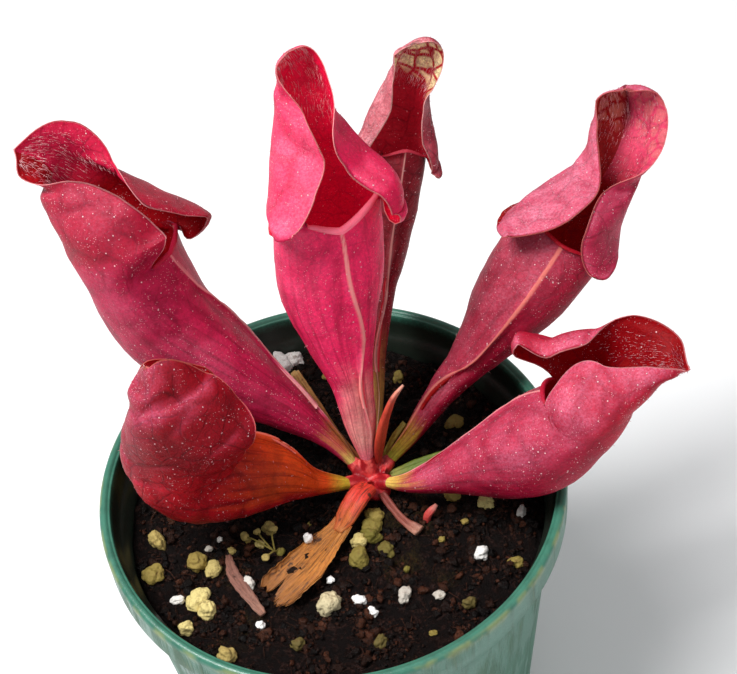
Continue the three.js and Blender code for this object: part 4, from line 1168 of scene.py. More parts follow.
class PLANT_OT_pitchers(bpy.types.Operator):
    """Builds the six hollow pitcher leaves with their hairs"""
    bl_idname = "pitcher_plant.pitchers"
    bl_label = "Pitcher leaves"

    def execute(self, context):
        specks, net = speck_group(), net_group()
        plain_skin = leaf_group("Pitcher Skin", specks, net, False)
        windowed_skin = leaf_group("Windowed Pitcher Skin", specks, net, True)
        hair_skin = hair_material()
        for name in PITCHERS:
            skin_group = windowed_skin if "windows" in LEAF_LOOKS[name] else plain_skin
            build_pitcher(name, skin_group, hair_skin, context.scene.pitcher_sizes)
        return {"FINISHED"}


def soil_height(x, y):
    """Height of the even top of the peat, a little higher at the back, in millimetres."""
    waves = 0.3 * np.sin(x / 5.3 + 1) * np.cos(y / 4.7) + 0.2 * np.sin((x - 2 * y) / 7.1)
    return SOIL_LEVEL + waves + 2.5 * np.maximum(0, y / SOIL_RADIUS) ** 2


def peat_top(x, y):
    """Height of the lumpy top of the peat, in millimetres."""
    x, y = np.atleast_1d(x).astype(float), np.atleast_1d(y).astype(float)
    flat = np.stack([x, y, np.zeros(len(x))], -1)
    broad = bumps(flat, size=6.5, seed=11, octaves=2)
    clods = np.abs(bumps(flat, size=3.2, seed=12))
    fine = bumps(flat, size=0.9, seed=13)
    lumps = 0.7 * broad + 1.5 * clods + 0.4 * fine
    return soil_height(x, y) - 0.7 + lumps


def ball(detail):
    """Points and faces of a round ball of radius one."""
    builder = bmesh.new()
    bmesh.ops.create_icosphere(builder, subdivisions=detail, radius=1)
    points = np.array([v.co for v in builder.verts])
    faces = np.array([[v.index for v in f.verts] for f in builder.faces])
    builder.free()
    return points, faces


def pebbles(centres, radii, tones, detail, rough, seed):
    """Uneven pebbles at centres, as points, faces and the tone of each point."""
    base, base_faces = ball(detail)
    draw = np.random.default_rng(seed)
    points, faces = [], []
    for index, (centre, radius) in enumerate(zip(centres, radii)):
        angle = draw.uniform(0, 2 * math.pi)
        cosine, sine = math.cos(angle), math.sin(angle)
        turn = np.array([[cosine, -sine, 0], [sine, cosine, 0], [0, 0, 1]])
        shape = base * draw.uniform(0.7, 1.25, 3) * (1, 1, 0.85)
        swell = 1 + rough * bumps(base * 1.1 + index * 7.7, size=1, seed=seed)
        points.append((shape * swell[:, None]) @ turn.T * radius + centre)
        faces.append(base_faces + index * len(base))
    return np.concatenate(points), np.concatenate(faces), np.repeat(tones, len(base))


def closed_faces(index):
    """Faces of a grid of points, rows by columns, whose last column meets its first."""
    closed = np.concatenate([index, index[:, :1]], axis=1)
    return [face for low, high in zip(closed[:-1], closed[1:]) for face in strip_faces(low, high).tolist()]


def swept(centres, across, lift, ring, seed, rough):
    """A rough rod along centres. ring holds how far each column of each row is to the side and up."""
    sideways, upward = ring
    grid = centres[:, None] + sideways[..., None] * across[:, None] + upward[..., None] * lift[:, None]
    rows, columns = sideways.shape
    points = grid.reshape(-1, 3)
    outward = unit(points - np.repeat(centres, columns, axis=0))
    points = points + outward * (rough * bumps(points, size=1.3, seed=seed))[:, None]
    index = np.arange(rows * columns).reshape(rows, columns)
    faces = closed_faces(index)
    faces.append(index[0][::-1].tolist())
    faces.append(index[-1].tolist())
    along = np.repeat(np.linspace(0, 1, rows), columns)
    turn = np.tile(np.linspace(0, 1, columns), rows)
    return points, faces, {"along": along, "turn": turn}


def leaf_rows(name, steps):
    """Centres and axes of a small leaf at even steps, with its half width and half thickness."""
    leaf = SMALL_LEAVES[name]
    rows = np.array(leaf["rows"], float)
    if leaf["lies"]:
        rows[:, 2] += soil_height(rows[:, 0], rows[:, 1])
    at = np.linspace(0, len(rows) - 1, steps)
    centres, _, lift, across = leaf_axes(rows[:, :3], np.array([leaf["flat"], leaf["flat"]], float), at)
    sizes = curve_through(rows[:, 3:], at)
    return centres, lift, across, sizes, at


def joined(parts):
    """One set of points, faces and values from several."""
    points, faces, values = [], [], {}
    start = 0
    for more_points, more_faces, more_values in parts:
        points.append(np.asarray(more_points))
        faces.extend([corner + start for corner in face] for face in more_faces)
        for key, numbers in more_values.items():
            values.setdefault(key, []).append(numbers)
        start += len(more_points)
    return np.concatenate(points), faces, {key: np.concatenate(numbers) for key, numbers in values.items()}


def small_leaf_group():
    """A small leaf's colour from its foot to its tip, with streaks along it and blotches."""
    group, given, out = new_group(
        "Small Leaf Skin",
        {"Foot": COLOUR, "Middle": COLOUR, "Tip": COLOUR, "Streak": COLOUR, "Streaks": NUMBER},
        {"Color": COLOUR, "Height": NUMBER})
    place = object_place(group)
    along, turn = values_at(group, "along", "turn")
    reach = grain(place, 260.0) * 0.3 + (along - 0.15)
    skin = blend(ramp(reach, 0.08, 0.4), given["Foot"], given["Middle"])
    skin = blend(ramp(reach, 0.6, 1.0), skin, given["Tip"])
    streaks = grain(flat_place(turn * 26.0, along * 5.0), 1.3, 4.0, 0.7, 0.6)
    dark = ramp(streaks, 0.46, 0.68) * given["Streaks"]
    blotch = ramp(grain(place, 420.0, 4.0), 0.58, 0.7) * given["Streaks"]
    skin = blend(dark.at_least(blotch), skin, given["Streak"])
    fine = grain(place, 1500.0, 3.0, 0.7)
    blend(0.7, skin, grey(fine * 0.9 + 0.55), "MULTIPLY").sent_to(out["Color"])
    (fine * 0.4 + streaks * -0.8).sent_to(out["Height"])
    return group


def small_leaf_material(name, group):
    foot, middle, tip, streak, streaks, rough, slot = SMALL_LOOKS[name]
    material, tree, shader = new_material(f"Skin of {name}")
    skin = use_group(tree, group, {
        "Foot": srgb(foot), "Middle": srgb(middle), "Tip": srgb(tip),
        "Streak": srgb(streak), "Streaks": streaks,
    })
    set_shader(shader, colour=Signal(skin, "Color"), roughness=rough, depth_share=0.12,
               depth_colours=(1.0, 0.4, 0.2), depth=0.001)
    rough_up(shader, Signal(skin, "Height"), 0.0002)
    return material, slot


def oval_ring(sizes, columns, keel=0.0, channel=0.0):
    """An oval section at each row, with a ridge below and a furrow above as shares of the thickness."""
    turn = np.linspace(0, 2 * math.pi, columns, endpoint=False)[None, :]
    sideways = sizes[:, :1] * np.sin(turn)
    upward = sizes[:, 1:] * np.cos(turn)
    middle = np.exp(-(np.sin(turn) / 0.35) ** 2)
    upward = upward - sizes[:, 1:] * middle * np.where(np.cos(turn) > 0, channel, keel)
    return sideways, upward


def plain_small_leaf(name, seed, channel, keel=0.1, rough=0.06):
    """A small leaf in one sweep, with a ridge below and a furrow above as shares of its thickness."""
    steps, columns = 44, 28
    centres, lift, across, sizes, _ = leaf_rows(name, steps)
    return swept(centres, across, lift, oval_ring(sizes, columns, keel, channel), seed, rough)


def split_stump():
    """The cut stump: two dry stalks side by side, with a pale lump where they end."""
    seed = 4
    centres, lift, across, sizes, _ = leaf_rows("cut_stump", 50)
    parts = []
    for side, scale in ((-0.5, 0.56), (0.5, 0.5)):
        centre = centres + across * sizes[:, :1] * side
        ring = oval_ring(sizes * (scale, scale * 1.3), columns=20, keel=0.1, channel=0.35)
        parts.append(swept(centre, across, lift, ring, seed=seed + side, rough=0.09))
    lump, lump_radius = centres[-1] - (0, 0, 0.5), 0.95
    points, faces, tones = pebbles([lump], [lump_radius], [1.0], detail=2, rough=0.25, seed=seed)
    parts.append((points, faces.tolist(), {"along": tones, "turn": tones * 0.3}))
    return joined(parts)


def row_bumps(values, seed):
    """Noise along one row of numbers."""
    return bumps(np.stack([values, 0 * values, 0 * values], -1), size=1, seed=seed)


def papery_leaf():
    """The dying leaf: a fleshy stalk that gives way to a thin, creased blade with a torn end."""
    seed = 9
    stalk_end, blade_start = 3.3, 2.6       # rows of the leaf
    columns, thickness = 34, 0.32
    centres, lift, across, sizes, at = leaf_rows("dying_leaf", 90)
    sizes = sizes * (1.16, 1)
    stalk = at <= stalk_end
    taper = 1 - 0.55 * smoothstep(2.5, stalk_end, at[stalk])[:, None]
    ring = oval_ring(sizes[stalk] * taper, columns=30, channel=0.3)
    parts = [swept(centres[stalk], across[stalk], lift[stalk], ring, seed, rough=0.12)]
    parts[0][2]["along"] *= 0.3

    # The blade is laid out by v, from -1 to 1 across it, and u, from 0 to 1 along it
    blade = at >= blade_start
    middle, up, side, half = centres[blade], lift[blade], across[blade], sizes[blade, 0]
    rows = len(middle)
    v = np.linspace(-1, 1, columns)[None, :]
    u = np.linspace(0, 1, rows)[:, None]
    ragged = 0.2 * np.abs(row_bumps(v[0] * 3, seed))
    tear = 0.2 * np.exp(-((v[0] - 0.3) / 0.2) ** 2)
    torn = 1 - ragged - tear - 0.1 * np.abs(v[0]) ** 3
    reached = (u * torn[None, :]) * (rows - 1)
    low = np.minimum(reached.astype(int), rows - 2)
    share = (reached - low)[..., None]

    def mixed(values):
        return values[low] * (1 - share) + values[low + 1] * share

    frill = 1 + 0.1 * row_bumps(u[:, 0] * 9, seed=5)[:, None] * np.abs(v) ** 3
    spread = mixed(half[:, None])[..., 0] * v * frill
    shape = (rows, columns)
    crease = np.stack([np.broadcast_to(v * 4.5, shape), np.broadcast_to(u * 1.6, shape), np.zeros(shape)], -1)
    folds = bumps(crease.reshape(-1, 3), size=1, seed=seed).reshape(shape)
    keel = np.exp(-((v - 0.1 + 0.2 * u) / 0.13) ** 2)
    curl = np.abs(v) ** 2.5 * (0.3 + 0.9 * u) * np.where(v > 0, 1.5, 0.5) - 0.15
    height = 0.7 * folds * (0.35 + 0.65 * u) + curl - 0.7 * keel * (1 - 0.5 * u)
    grid = mixed(middle) + spread[..., None] * mixed(side) + height[..., None] * mixed(up)

    # Both faces of the blade, and the edge between them
    top = grid.reshape(-1, 3)
    index = np.arange(rows * columns).reshape(shape)
    faces = np.concatenate([strip_faces(a, b) for a, b in zip(index[:-1], index[1:])])
    normals = point_normals(top, faces)
    if normals[:, 2].mean() < 0:
        faces, normals = faces[:, ::-1], -normals
    bottom = top - normals * thickness
    loop = np.concatenate([index[0], index[1:, -1], index[-1, -2::-1], index[-2:0:-1, 0]])
    rim = np.stack([loop, np.roll(loop, -1), np.roll(loop, -1) + len(top), loop + len(top)], -1)
    all_faces = np.concatenate([faces, faces[:, ::-1] + len(top), rim])
    along = np.tile(0.3 + 0.7 * np.broadcast_to(u, shape).reshape(-1), 2)
    turn = np.tile(np.broadcast_to(v * 0.5 + 0.5, shape).reshape(-1), 2)
    parts.append((np.concatenate([top, bottom]), all_faces.tolist(), {"along": along, "turn": turn}))
    return joined(parts)


class PLANT_OT_small_leaves(bpy.types.Operator):
    """Builds the young leaf, the sprout, the straps, the dying leaf and the cut and dead scraps"""
    bl_idname = "pitcher_plant.small_leaves"
    bl_label = "Small leaves"

    def execute(self, context):
        group = small_leaf_group()
        shapes = {
            "young_leaf": plain_small_leaf("young_leaf", seed=1, channel=0.45, keel=0.2),
            "dying_leaf": papery_leaf(),
            "cut_stub": plain_small_leaf("cut_stub", seed=3, channel=0.55, rough=0.12),
            "cut_stump": split_stump(),
            "strap_green": plain_small_leaf("strap_green", seed=5, channel=0.5),
            "strap_yellow": plain_small_leaf("strap_yellow", seed=6, channel=0.5),
            "red_sprout": plain_small_leaf("red_sprout", seed=7, channel=0.4),
            "dead_strip": plain_small_leaf("dead_strip", seed=8, channel=0.6, keel=0.2, rough=0.22),
        }
        for name, (points, faces, values) in shapes.items():
            material, slot = small_leaf_material(name, group)
            piece = make_piece(f"{name}_skin", points, faces, material, values)
            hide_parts(name)
            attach(piece, "root")
        return {"FINISHED"}


def lobe(start, end, half_widths, thick, bend, seed):
    """A fleshy lobe from start to end, bent upward, as points and faces."""
    start, end = np.array(start, float), np.array(end, float)
    steps = 12
    t = np.linspace(0, 1, steps)[:, None]
    centres = start + (end - start) * t + np.array([0, 0, 1]) * bend * np.sin(np.pi * t) * 0.5
    ahead = unit(np.gradient(centres, axis=0))
    out = unit(np.cross(ahead, np.cross(np.array([0, 0, 1.0]), ahead)))
    across = np.cross(ahead, out)
    width = np.interp(t[:, 0], [0, 0.5, 0.85, 1], list(half_widths) + [half_widths[-1] * 0.35])[:, None]
    sizes = np.concatenate([width, width * thick], axis=1)
    ring = oval_ring(sizes, columns=14, channel=0.15)
    points, faces, _ = swept(centres, across, out, ring, seed, rough=0.08)
    return points, faces, {}


def crown_shape():
    """Fleshy body of the crown, a sheath round the foot of each leaf, and small scales between them."""
    draw = random.Random(5)
    middle = np.array([CROWN["x"], CROWN["y"], 0])
    heart, body_centre, body_radius = middle + (0, 0, 79.3), middle + (0, 0, 78.6), 4.6
    body, body_faces, _ = pebbles([body_centre], [body_radius], [0.0], detail=3, rough=0.1, seed=3)
    parts = [(body, body_faces.tolist(), {})]
    for leaf in PITCHERS.values():
        foot, after = (np.array(row[:3], float) for row in leaf["tube"][:2])
        wide = leaf["tube"][0][3]
        inward = heart + (foot - heart) * 0.25
        outward, half_widths = foot + (after - foot) * 0.3, (2.3, wide * 1.75, wide * 1.45)
        parts.append(lobe(inward, outward, half_widths, thick=0.9, bend=0.6, seed=2))
    for index in range(CROWN["scales"]):
        angle = index * 2.4 + draw.uniform(-0.3, 0.3)
        reach = draw.uniform(2.2, 4.4)
        rise = draw.uniform(80.5, 84.6)
        start = middle + (1.6 * math.cos(angle), 1.6 * math.sin(angle), 79.5)
        end = middle + (reach * math.cos(angle), reach * math.sin(angle), rise)
        parts.append(lobe(start, end, (1.3, 1.0, 0.6), thick=0.55, bend=0.5, seed=index))
    points, faces, _ = joined(parts)
    return points, faces


def mesh_with_modifiers(obj):
    """A new mesh of the object with its modifiers applied, which it then no longer has."""
    graph = bpy.context.evaluated_depsgraph_get()
    mesh = bpy.data.meshes.new_from_object(obj.evaluated_get(graph))
    obj.modifiers.clear()
    return mesh


def remesh(obj, voxel):
    """Fuses the overlapping parts of an object into one skin, with faces about voxel across."""
    fuse = obj.modifiers.new("fuse", "REMESH")
    fuse.mode = "VOXEL"
    fuse.voxel_size = voxel
    even = obj.modifiers.new("even", "SMOOTH")
    even.factor = 0.6
    even.iterations = 4
    material = obj.data.materials[0]
    mesh = mesh_with_modifiers(obj)
    obj.data = mesh
    mesh.materials.clear()
    mesh.materials.append(material)
    mesh.polygons.foreach_set("use_smooth", [True] * len(mesh.polygons))


def crown_material():
    material, tree, shader = new_material("Crown tissue")
    place = object_place(tree)
    height = axis_of(place, 2)
    patches = grain(place, 420.0, 3.0)
    fine = grain(place, 1800.0, 3.0, 0.7)
    colour = blend(ramp(patches, 0.4, 0.62), srgb("900C18"), srgb("D0262C"))
    tips = ramp(height, 0.0815, 0.0845) * ramp(patches, 0.45, 0.6)
    colour = blend(tips * 0.4, colour, srgb("D8746A"))
    colour = blend(ramp(fine, 0.55, 0.7) * 0.5, colour, srgb("5E0A14"))
    dark_below = ramp(patches * 0.003 + height, 0.0808, 0.0795)
    colour = blend(dark_below, colour, srgb("3A1410"))
    set_shader(shader, colour=colour, roughness=0.36, depth_share=0.2, depth_colours=(1.0, 0.2, 0.15),
               depth=0.0015)
    rough_up(shader, fine, 0.00018)
    return material


class PLANT_OT_crown(bpy.types.Operator):
    """Builds the fleshy crown with its leaf sheaths and scales"""
    bl_idname = "pitcher_plant.crown"
    bl_label = "Crown"

    def execute(self, context):
        points, faces = crown_shape()
        piece = make_piece("crown_skin", points, faces, crown_material())
        remesh(piece, 0.24 * MM)
        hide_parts("crown")
        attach(piece, "root")
        return {"FINISHED"}


def peat_material(colour):
    material, tree, shader = new_material("Damp peat")
    place = object_place(tree)
    dark = (*colour, 1)
    # Lighter speckles: partly the peat's real lighter crumbs, partly painted glints of wet peat
    brown_and_glint = (*(min(1, 13 * channel) for channel in colour), 1)
    lumps = grain(place, 500.0, 5.0, 0.7)
    fine = grain(place, 2600.0, 3.0, 0.8)
    skin = blend(ramp(lumps, 0.48, 0.66) * ramp(fine, 0.4, 0.6), dark, brown_and_glint)
    moss = ramp(grain(place, 70.0, 2.0), 0.58, 0.68) * ramp(fine, 0.45, 0.6)
    skin = blend(moss * 0.55, skin, srgb("4A3C18"))
    dry = ramp(lumps, 0.6, 0.4)
    set_shader(shader, colour=skin, roughness=dry * 0.45 + 0.3, shine=0.14)
    rough_up(shader, lumps + fine, 0.0009)
    return material


def crumb_material(name, low, high, rough):
    """Crumbs and fibres, each coloured by its own tone."""
    material, tree, shader = new_material(name)
    [tone] = values_at(tree, "tone")
    fine = grain(object_place(tree), 2600.0, 3.0, 0.7)
    skin = blend(tone, srgb(low), srgb(high))
    skin = blend(ramp(fine, 0.45, 0.65) * 0.75, skin, srgb("0A0504"))
    set_shader(shader, colour=skin, roughness=rough, shine=0.18)
    rough_up(shader, fine, 0.0005)
    return material


def grain_material():
    material, tree, shader = new_material("Pale grains")
    place = object_place(tree)
    [tone] = values_at(tree, "tone")
    tones = put(tree, "ShaderNodeValToRGB", {0: tone})
    stops = tones.color_ramp.elements
    first, *between, last = GRAIN_TONES
    stops[0].position, stops[0].color = first[0], srgb(first[1])
    stops[1].position, stops[1].color = last[0], srgb(last[1])
    for position, code in between:
        stops.new(position).color = srgb(code)
    pores = Signal(put(tree, "ShaderNodeTexVoronoi", {"Vector": place, "Scale": 1300.0}), "Distance")
    rough = grain(place, 700.0, 4.0, 0.7)
    skin = blend(ramp(pores, 0.25, 0.08) * 0.35, Signal(tones), srgb("5E4A26"))
    skin = blend(ramp(rough, 0.52, 0.72) * 0.7, skin, srgb("604420"))
    set_shader(shader, colour=skin, roughness=0.8)
    rough_up(shader, pores + rough, 0.0002)
    return material


def peat_body():
    """The block of peat: a lumpy top with even sides down to the floor of the pot."""
    rings, spokes = 118, 300
    edge = SOIL_RADIUS + 0.1
    radii = edge * (np.arange(1, rings + 1) / rings) ** 0.9
    angles = np.linspace(0, 2 * math.pi, spokes, endpoint=False)
    x, y = np.outer(radii, np.cos(angles)), np.outer(radii, np.sin(angles))
    z = peat_top(x.reshape(-1), y.reshape(-1)).reshape(x.shape)
    z = z - 0.9 * smoothstep(edge - 2, edge, radii)[:, None]
    sides = []
    for radius, height in ((46.8, 72), (41.1, POT_FLOOR + 1.9), (40, POT_FLOOR + 0.3)):
        level = np.full(spokes, height)
        sides.append(np.stack([radius * np.cos(angles), radius * np.sin(angles), level], -1))
    grid = np.concatenate([np.stack([x, y, z], -1), np.array(sides)])
    points = np.concatenate([grid.reshape(-1, 3), [[0, 0, peat_top(0, 0)[0]]]])
    index = np.arange(grid.shape[0] * spokes).reshape(-1, spokes)
    closed = np.concatenate([index, index[:, :1]], axis=1)
    faces = [face for low, high in zip(closed[:-1], closed[1:]) for face in strip_faces(high, low).tolist()]
    faces += [(len(points) - 1, a, b) for a, b in zip(closed[0][:-1], closed[0][1:])]
    faces.append(index[-1][::-1].tolist())
    return points, faces


def scattered(count, draw, radius=46.0):
    """Places on the peat, closer together in some patches than in others."""
    reach = radius * np.sqrt(draw.uniform(0, 1, 3 * count))
    angle = draw.uniform(0, 2 * math.pi, 3 * count)
    x, y = reach * np.cos(angle), reach * np.sin(angle)
    patches = bumps(np.stack([x, y, 0 * x], -1), size=7, seed=17, octaves=2)
    crowd = patches + draw.uniform(-0.5, 0.5, 3 * count)
    kept = np.argsort(-crowd)[:count]
    return x[kept], y[kept]


def crumb_heap(count, draw):
    """Many small crumbs and a few large ones."""
    parts = []
    for share, detail, smallest, largest in ((0.8, 1, 0.2, 0.55), (0.2, 2, 0.5, 1.2)):
        number = int(count * share)
        x, y = scattered(number, draw)
        radii = smallest + (largest - smallest) * draw.uniform(0, 1, number) ** 2.2
        tones = draw.uniform(0, 1, number) ** 3
        centres = np.stack([x, y, peat_top(x, y) + radii * 0.25], -1)
        points, faces, tone = pebbles(centres, radii, tones, detail, rough=0.8, seed=20 + detail)
        parts.append((points, faces.tolist(), {"tone": tone}))
    return joined(parts)


def fibre_heap(count, draw):
    """Thin bent strands that lie on the peat."""
    steps, sides = 7, 3
    x, y = scattered(count, draw, radius=44.5)
    heading = draw.uniform(0, 2 * math.pi, count)
    length = 1.2 + 3.6 * draw.uniform(0, 1, count) ** 2
    bend = draw.normal(0, 0.4, count)
    thick = 0.06 + 0.12 * draw.uniform(0, 1, count) ** 2
    arch = draw.uniform(0, 0.7, count)
    t = np.linspace(0, 1, steps)[None, :]
    turned = heading[:, None] + bend[:, None] * t
    px = x[:, None] + np.cumsum(np.cos(turned), axis=1) * length[:, None] / steps
    py = y[:, None] + np.cumsum(np.sin(turned), axis=1) * length[:, None] / steps
    inside = np.hypot(px, py).max(axis=1) < 46.3
    px, py, turned = px[inside], py[inside], turned[inside]
    thick, arch, number = thick[inside], arch[inside], int(inside.sum())
    pz = peat_top(px.reshape(-1), py.reshape(-1)).reshape(px.shape)
    pz = np.maximum(pz, pz.mean(axis=1, keepdims=True)) + 0.12 + arch[:, None] * np.sin(np.pi * t)
    taper = thick[:, None] * (1 - 0.5 * t)
    rings = []
    for corner in range(sides):
        angle = 2 * math.pi * corner / sides
        shift = taper * math.cos(angle)
        rings.append(np.stack([px - np.sin(turned) * shift, py + np.cos(turned) * shift,
                               pz + taper * math.sin(angle)], -1))
    points = np.stack(rings, 2).reshape(-1, 3)
    base = np.arange(number)[:, None, None] * steps * sides + np.arange(steps)[None, :, None] * sides
    index = base + np.arange(sides)[None, None, :]
    after = np.roll(index, -1, axis=2)
    faces = np.stack([index[:, :-1], after[:, :-1], after[:, 1:], index[:, 1:]], -1).reshape(-1, 4).tolist()
    faces += index[:, 0, ::-1].tolist() + index[:, -1].tolist()
    tones = np.repeat(draw.uniform(0, 1, number), steps * sides)
    return points, faces, {"tone": tones}


def dress(piece):
    """Fixes a piece to the plant."""
    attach(piece, "root")


def grain_heap():
    """The pale grains, each a little sunk in the peat."""
    grains = np.array(GRAINS)
    radii = grains[:, 2]
    heights = soil_height(grains[:, 0], grains[:, 1]) + radii * 0.2
    centres = np.stack([grains[:, 0], grains[:, 1], heights], -1)
    return pebbles(centres, radii, grains[:, 3], detail=4, rough=0.34, seed=41)


def seedling_parts():
    """Each seedling as a thin stem and a round pad at its end."""
    steps, girth, pad_radius = 14, 0.2, 0.95
    parts = []
    for index, stem in enumerate(SEEDLINGS):
        rows = np.array(stem, float)
        rows[:, 2] += soil_height(rows[:, 0], rows[:, 1])
        at = np.linspace(0, len(rows) - 1, steps)
        centres, _, lift, across = leaf_axes(rows, np.array([(0, 0, 1), (0, 0, 1)], float), at)
        ring = oval_ring(np.full((steps, 2), girth), columns=8)
        points, faces, _ = swept(centres, across, lift, ring, seed=index, rough=0.03)
        parts.append((points, faces, {"tone": np.full(len(points), 0.25)}))
        points, faces, tones = pebbles([rows[0]], [pad_radius], [0.45], detail=3, rough=0.25, seed=50 + index)
        parts.append((points, faces.tolist(), {"tone": tones}))
    return parts


class PLANT_OT_peat(bpy.types.Operator):
    """Builds the peat with its crumbs, fibres, pale grains and seedlings"""
    bl_idname = "pitcher_plant.peat"
    bl_label = "Peat"

    def execute(self, context):
        sizes = context.scene.peat_sizes
        draw = np.random.default_rng(seed=31)
        body = make_piece("peat_body", *peat_body(), peat_material(sizes.colour))
        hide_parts("soil")
        dress(body)
        points, faces, values = crumb_heap(sizes.crumbs, draw)
        crumb_skin = crumb_material("Peat crumbs", "070302", "4E2A1A", 0.36)
        dress(make_piece("peat_crumbs", points, faces, crumb_skin, values))
        points, faces, values = fibre_heap(sizes.fibres, draw)
        fibre_skin = crumb_material("Peat fibres", "100806", "4E2C1E", 0.5)
        dress(make_piece("peat_fibres", points, faces, fibre_skin, values))
        points, faces, tones = grain_heap()
        pale = grain_material()
        dress(make_piece("pale_grains", points, faces, pale, {"tone": tones}))
        x, y, radius, tone = LEAF_GRAIN
        centre = [(x, y, soil_height(x, y) + 2.6)]
        points, faces, tones = pebbles(centre, [radius], [tone], detail=4, rough=0.3, seed=43)
        dress(make_piece("leaf_grain", points, faces, pale, {"tone": tones}))
        points, faces, values = joined(seedling_parts())
        dress(make_piece("seedlings", points, faces, pale, values))
        return {"FINISHED"}


def pot_profile(pot):
    """Outline of the pot as radius and height, in millimetres, from the middle of its underside."""
    rim, base, top = pot.rim_radius / MM, pot.base_radius / MM, pot.height / MM
    wall = 1.4
    wall_top, foot = rim - 3.3, top - 9
    outer = [(0, 0), (base - 8, 0), (base - 7.6, 0.5), (base - 5, 0.5), (base - 4.6, 0), (base - 1.5, 0),
             (base - 0.4, 0.4), (base, 1.5)]
    for share in (0.12, 0.3, 0.5, 0.7, 0.88):
        outer.append((base + (wall_top - base) * share, 1.5 + (foot - 2) * share))
    outer += [
        (wall_top, foot - 0.5), (wall_top + 0.5, foot - 0.15), (rim - 0.9, foot), (rim - 0.3, foot + 0.3),
        (rim, foot + 1), (rim, foot + 4), (rim - 0.1, foot + 6.2), (rim, top - 1.5),
        (rim - 0.02, top - 1), (rim - 0.25, top - 0.4), (rim - 0.7, top - 0.08), (rim - 1.2, top),
        (rim - 1.6, top - 0.12), (rim - 1.85, top - 0.5), (rim - 2.0, top - 0.62),
        (rim - 2.2, top - 0.55), (rim - 2.4, top - 0.75), (rim - 2.5, top - 1.4),
        (rim - 2.7, foot + 3), (rim - 3.6, foot + 1.6), (wall_top - wall, foot + 0.5),
    ]
    inner = [(base - wall, POT_FLOOR + 1.5), (base - wall - 1, POT_FLOOR), (0, POT_FLOOR)]
    return outer + inner


def turned_shape(profile, sides):
    """A profile turned round the upright axis, as points and faces."""
    angles = np.linspace(0, 2 * math.pi, sides, endpoint=False)
    points = [(0, 0, profile[0][1])]
    rows = []
    for radius, height in profile[1:-1]:
        rows.append(range(len(points), len(points) + sides))
        points += [(radius * math.cos(a), radius * math.sin(a), height) for a in angles]
    points.append((0, 0, profile[-1][1]))
    faces = [(0, rows[0][(k + 1) % sides], rows[0][k]) for k in range(sides)]
    for low, high in zip(rows[:-1], rows[1:]):
        faces += [(low[k], low[(k + 1) % sides], high[(k + 1) % sides], high[k]) for k in range(sides)]
    faces += [(len(points) - 1, rows[-1][k], rows[-1][(k + 1) % sides]) for k in range(sides)]
    return np.array(points, float), faces


def cut_drain_holes(pot):
    """Cuts the drain holes out of the pot's floor."""
    holes, ring_radius, hole_radius, sides = 6, 30, 4, 32
    points, faces = [], []
    for hole in range(holes):
        angle = (hole + 0.5) * 2 * math.pi / holes
        x, y = ring_radius * math.cos(angle), ring_radius * math.sin(angle)
        start = len(points)
        for height in (-2, 4):
            for turn in np.arange(sides) * 2 * math.pi / sides:
                points.append((x + hole_radius * math.cos(turn), y + hole_radius * math.sin(turn), height))
        top = start + sides
        faces.append([start + k for k in reversed(range(sides))])
        faces.append([top + k for k in range(sides)])
        faces += [(start + k, start + (k + 1) % sides, top + (k + 1) % sides, top + k) for k in range(sides)]
    cutter = make_piece("drain_cutter", points, faces, pot.data.materials[0], smooth=False)
    cut = pot.modifiers.new("holes", "BOOLEAN")
    cut.operation = "DIFFERENCE"
    cut.solver = "EXACT"
    cut.object = cutter
    pot.data = mesh_with_modifiers(pot)
    bpy.data.objects.remove(cutter)


def pot_material(plastic):
    """Green plastic with streaks of algae and chalk outside, and soil with painted shade on the wall inside
    the rim.
    """
    material, tree, shader = new_material("Green pot plastic")
    place = object_place(tree)
    x, y, z = (axis_of(place, axis) for axis in range(3))
    square = x * x + y * y
    radius = square.combined("SQRT", square, 0.0)
    stretch = {0: place, 1: (1.0, 1.0, 0.1)}
    drawn_out = Signal(put(tree, "ShaderNodeVectorMath", stretch, operation="MULTIPLY"))
    drips = grain(drawn_out, 260.0, 4.0, 0.65)
    fine = grain(place, 1600.0, 3.0, 0.7)

    # Which side of the wall this is: its outside widens by 6.2 mm over 79 mm of height
    side_wall = z * (6.2 / 79.0) + 0.0413
    depth = side_wall - (radius - fine * 0.0003)
    behind_wall = ramp(depth, -0.0008, -0.0004).at_least(ramp(z, 0.0812, 0.082))
    within = behind_wall * ramp(radius, 0.0503, 0.0501)
    outside = ramp(z, 0.0893, 0.0878) * (1.0 - within)

    skin = blend(ramp(drips, 0.35, 0.75), (*plastic, 1), (*(0.68 * channel for channel in plastic), 1))
    algae = ramp(drips + grain(place, 45.0, 3.0) * 0.8, 0.82, 1.08) * outside
    high = ramp(z, 0.045, 0.08)
    skin = blend(algae * (high * 0.2 + 0.12), skin, srgb("4E5222"))
    chalk = ramp(grain(drawn_out, 520.0, 4.0, 0.6), 0.56, 0.72) * outside
    on_left = ramp(x, 0.01, -0.03) * 0.2 + 0.1
    skin = blend(chalk * on_left * high, skin, srgb("A8B890"))
    # Soil stuck on the wall inside the rim, with painted shade there too: near black below the rim's top
    dark_below = within * ramp(fine * 0.004 + z, 0.092, 0.0885)
    skin = blend(dark_below * 0.93, skin, srgb("16100C"))
    edge = ramp(radius, 0.0516, 0.0523) * ramp(z, 0.0865, 0.0895)
    worn = edge * ramp(grain(place, 170.0, 3.0), 0.42, 0.62)
    skin = blend(worn * 0.6, skin, srgb("8E9258"))
    set_shader(shader, colour=skin, roughness=fine * 0.25 + (algae * 0.3 + 0.2))
    rough_up(shader, algae + fine * 0.25, 0.0003)
    return material


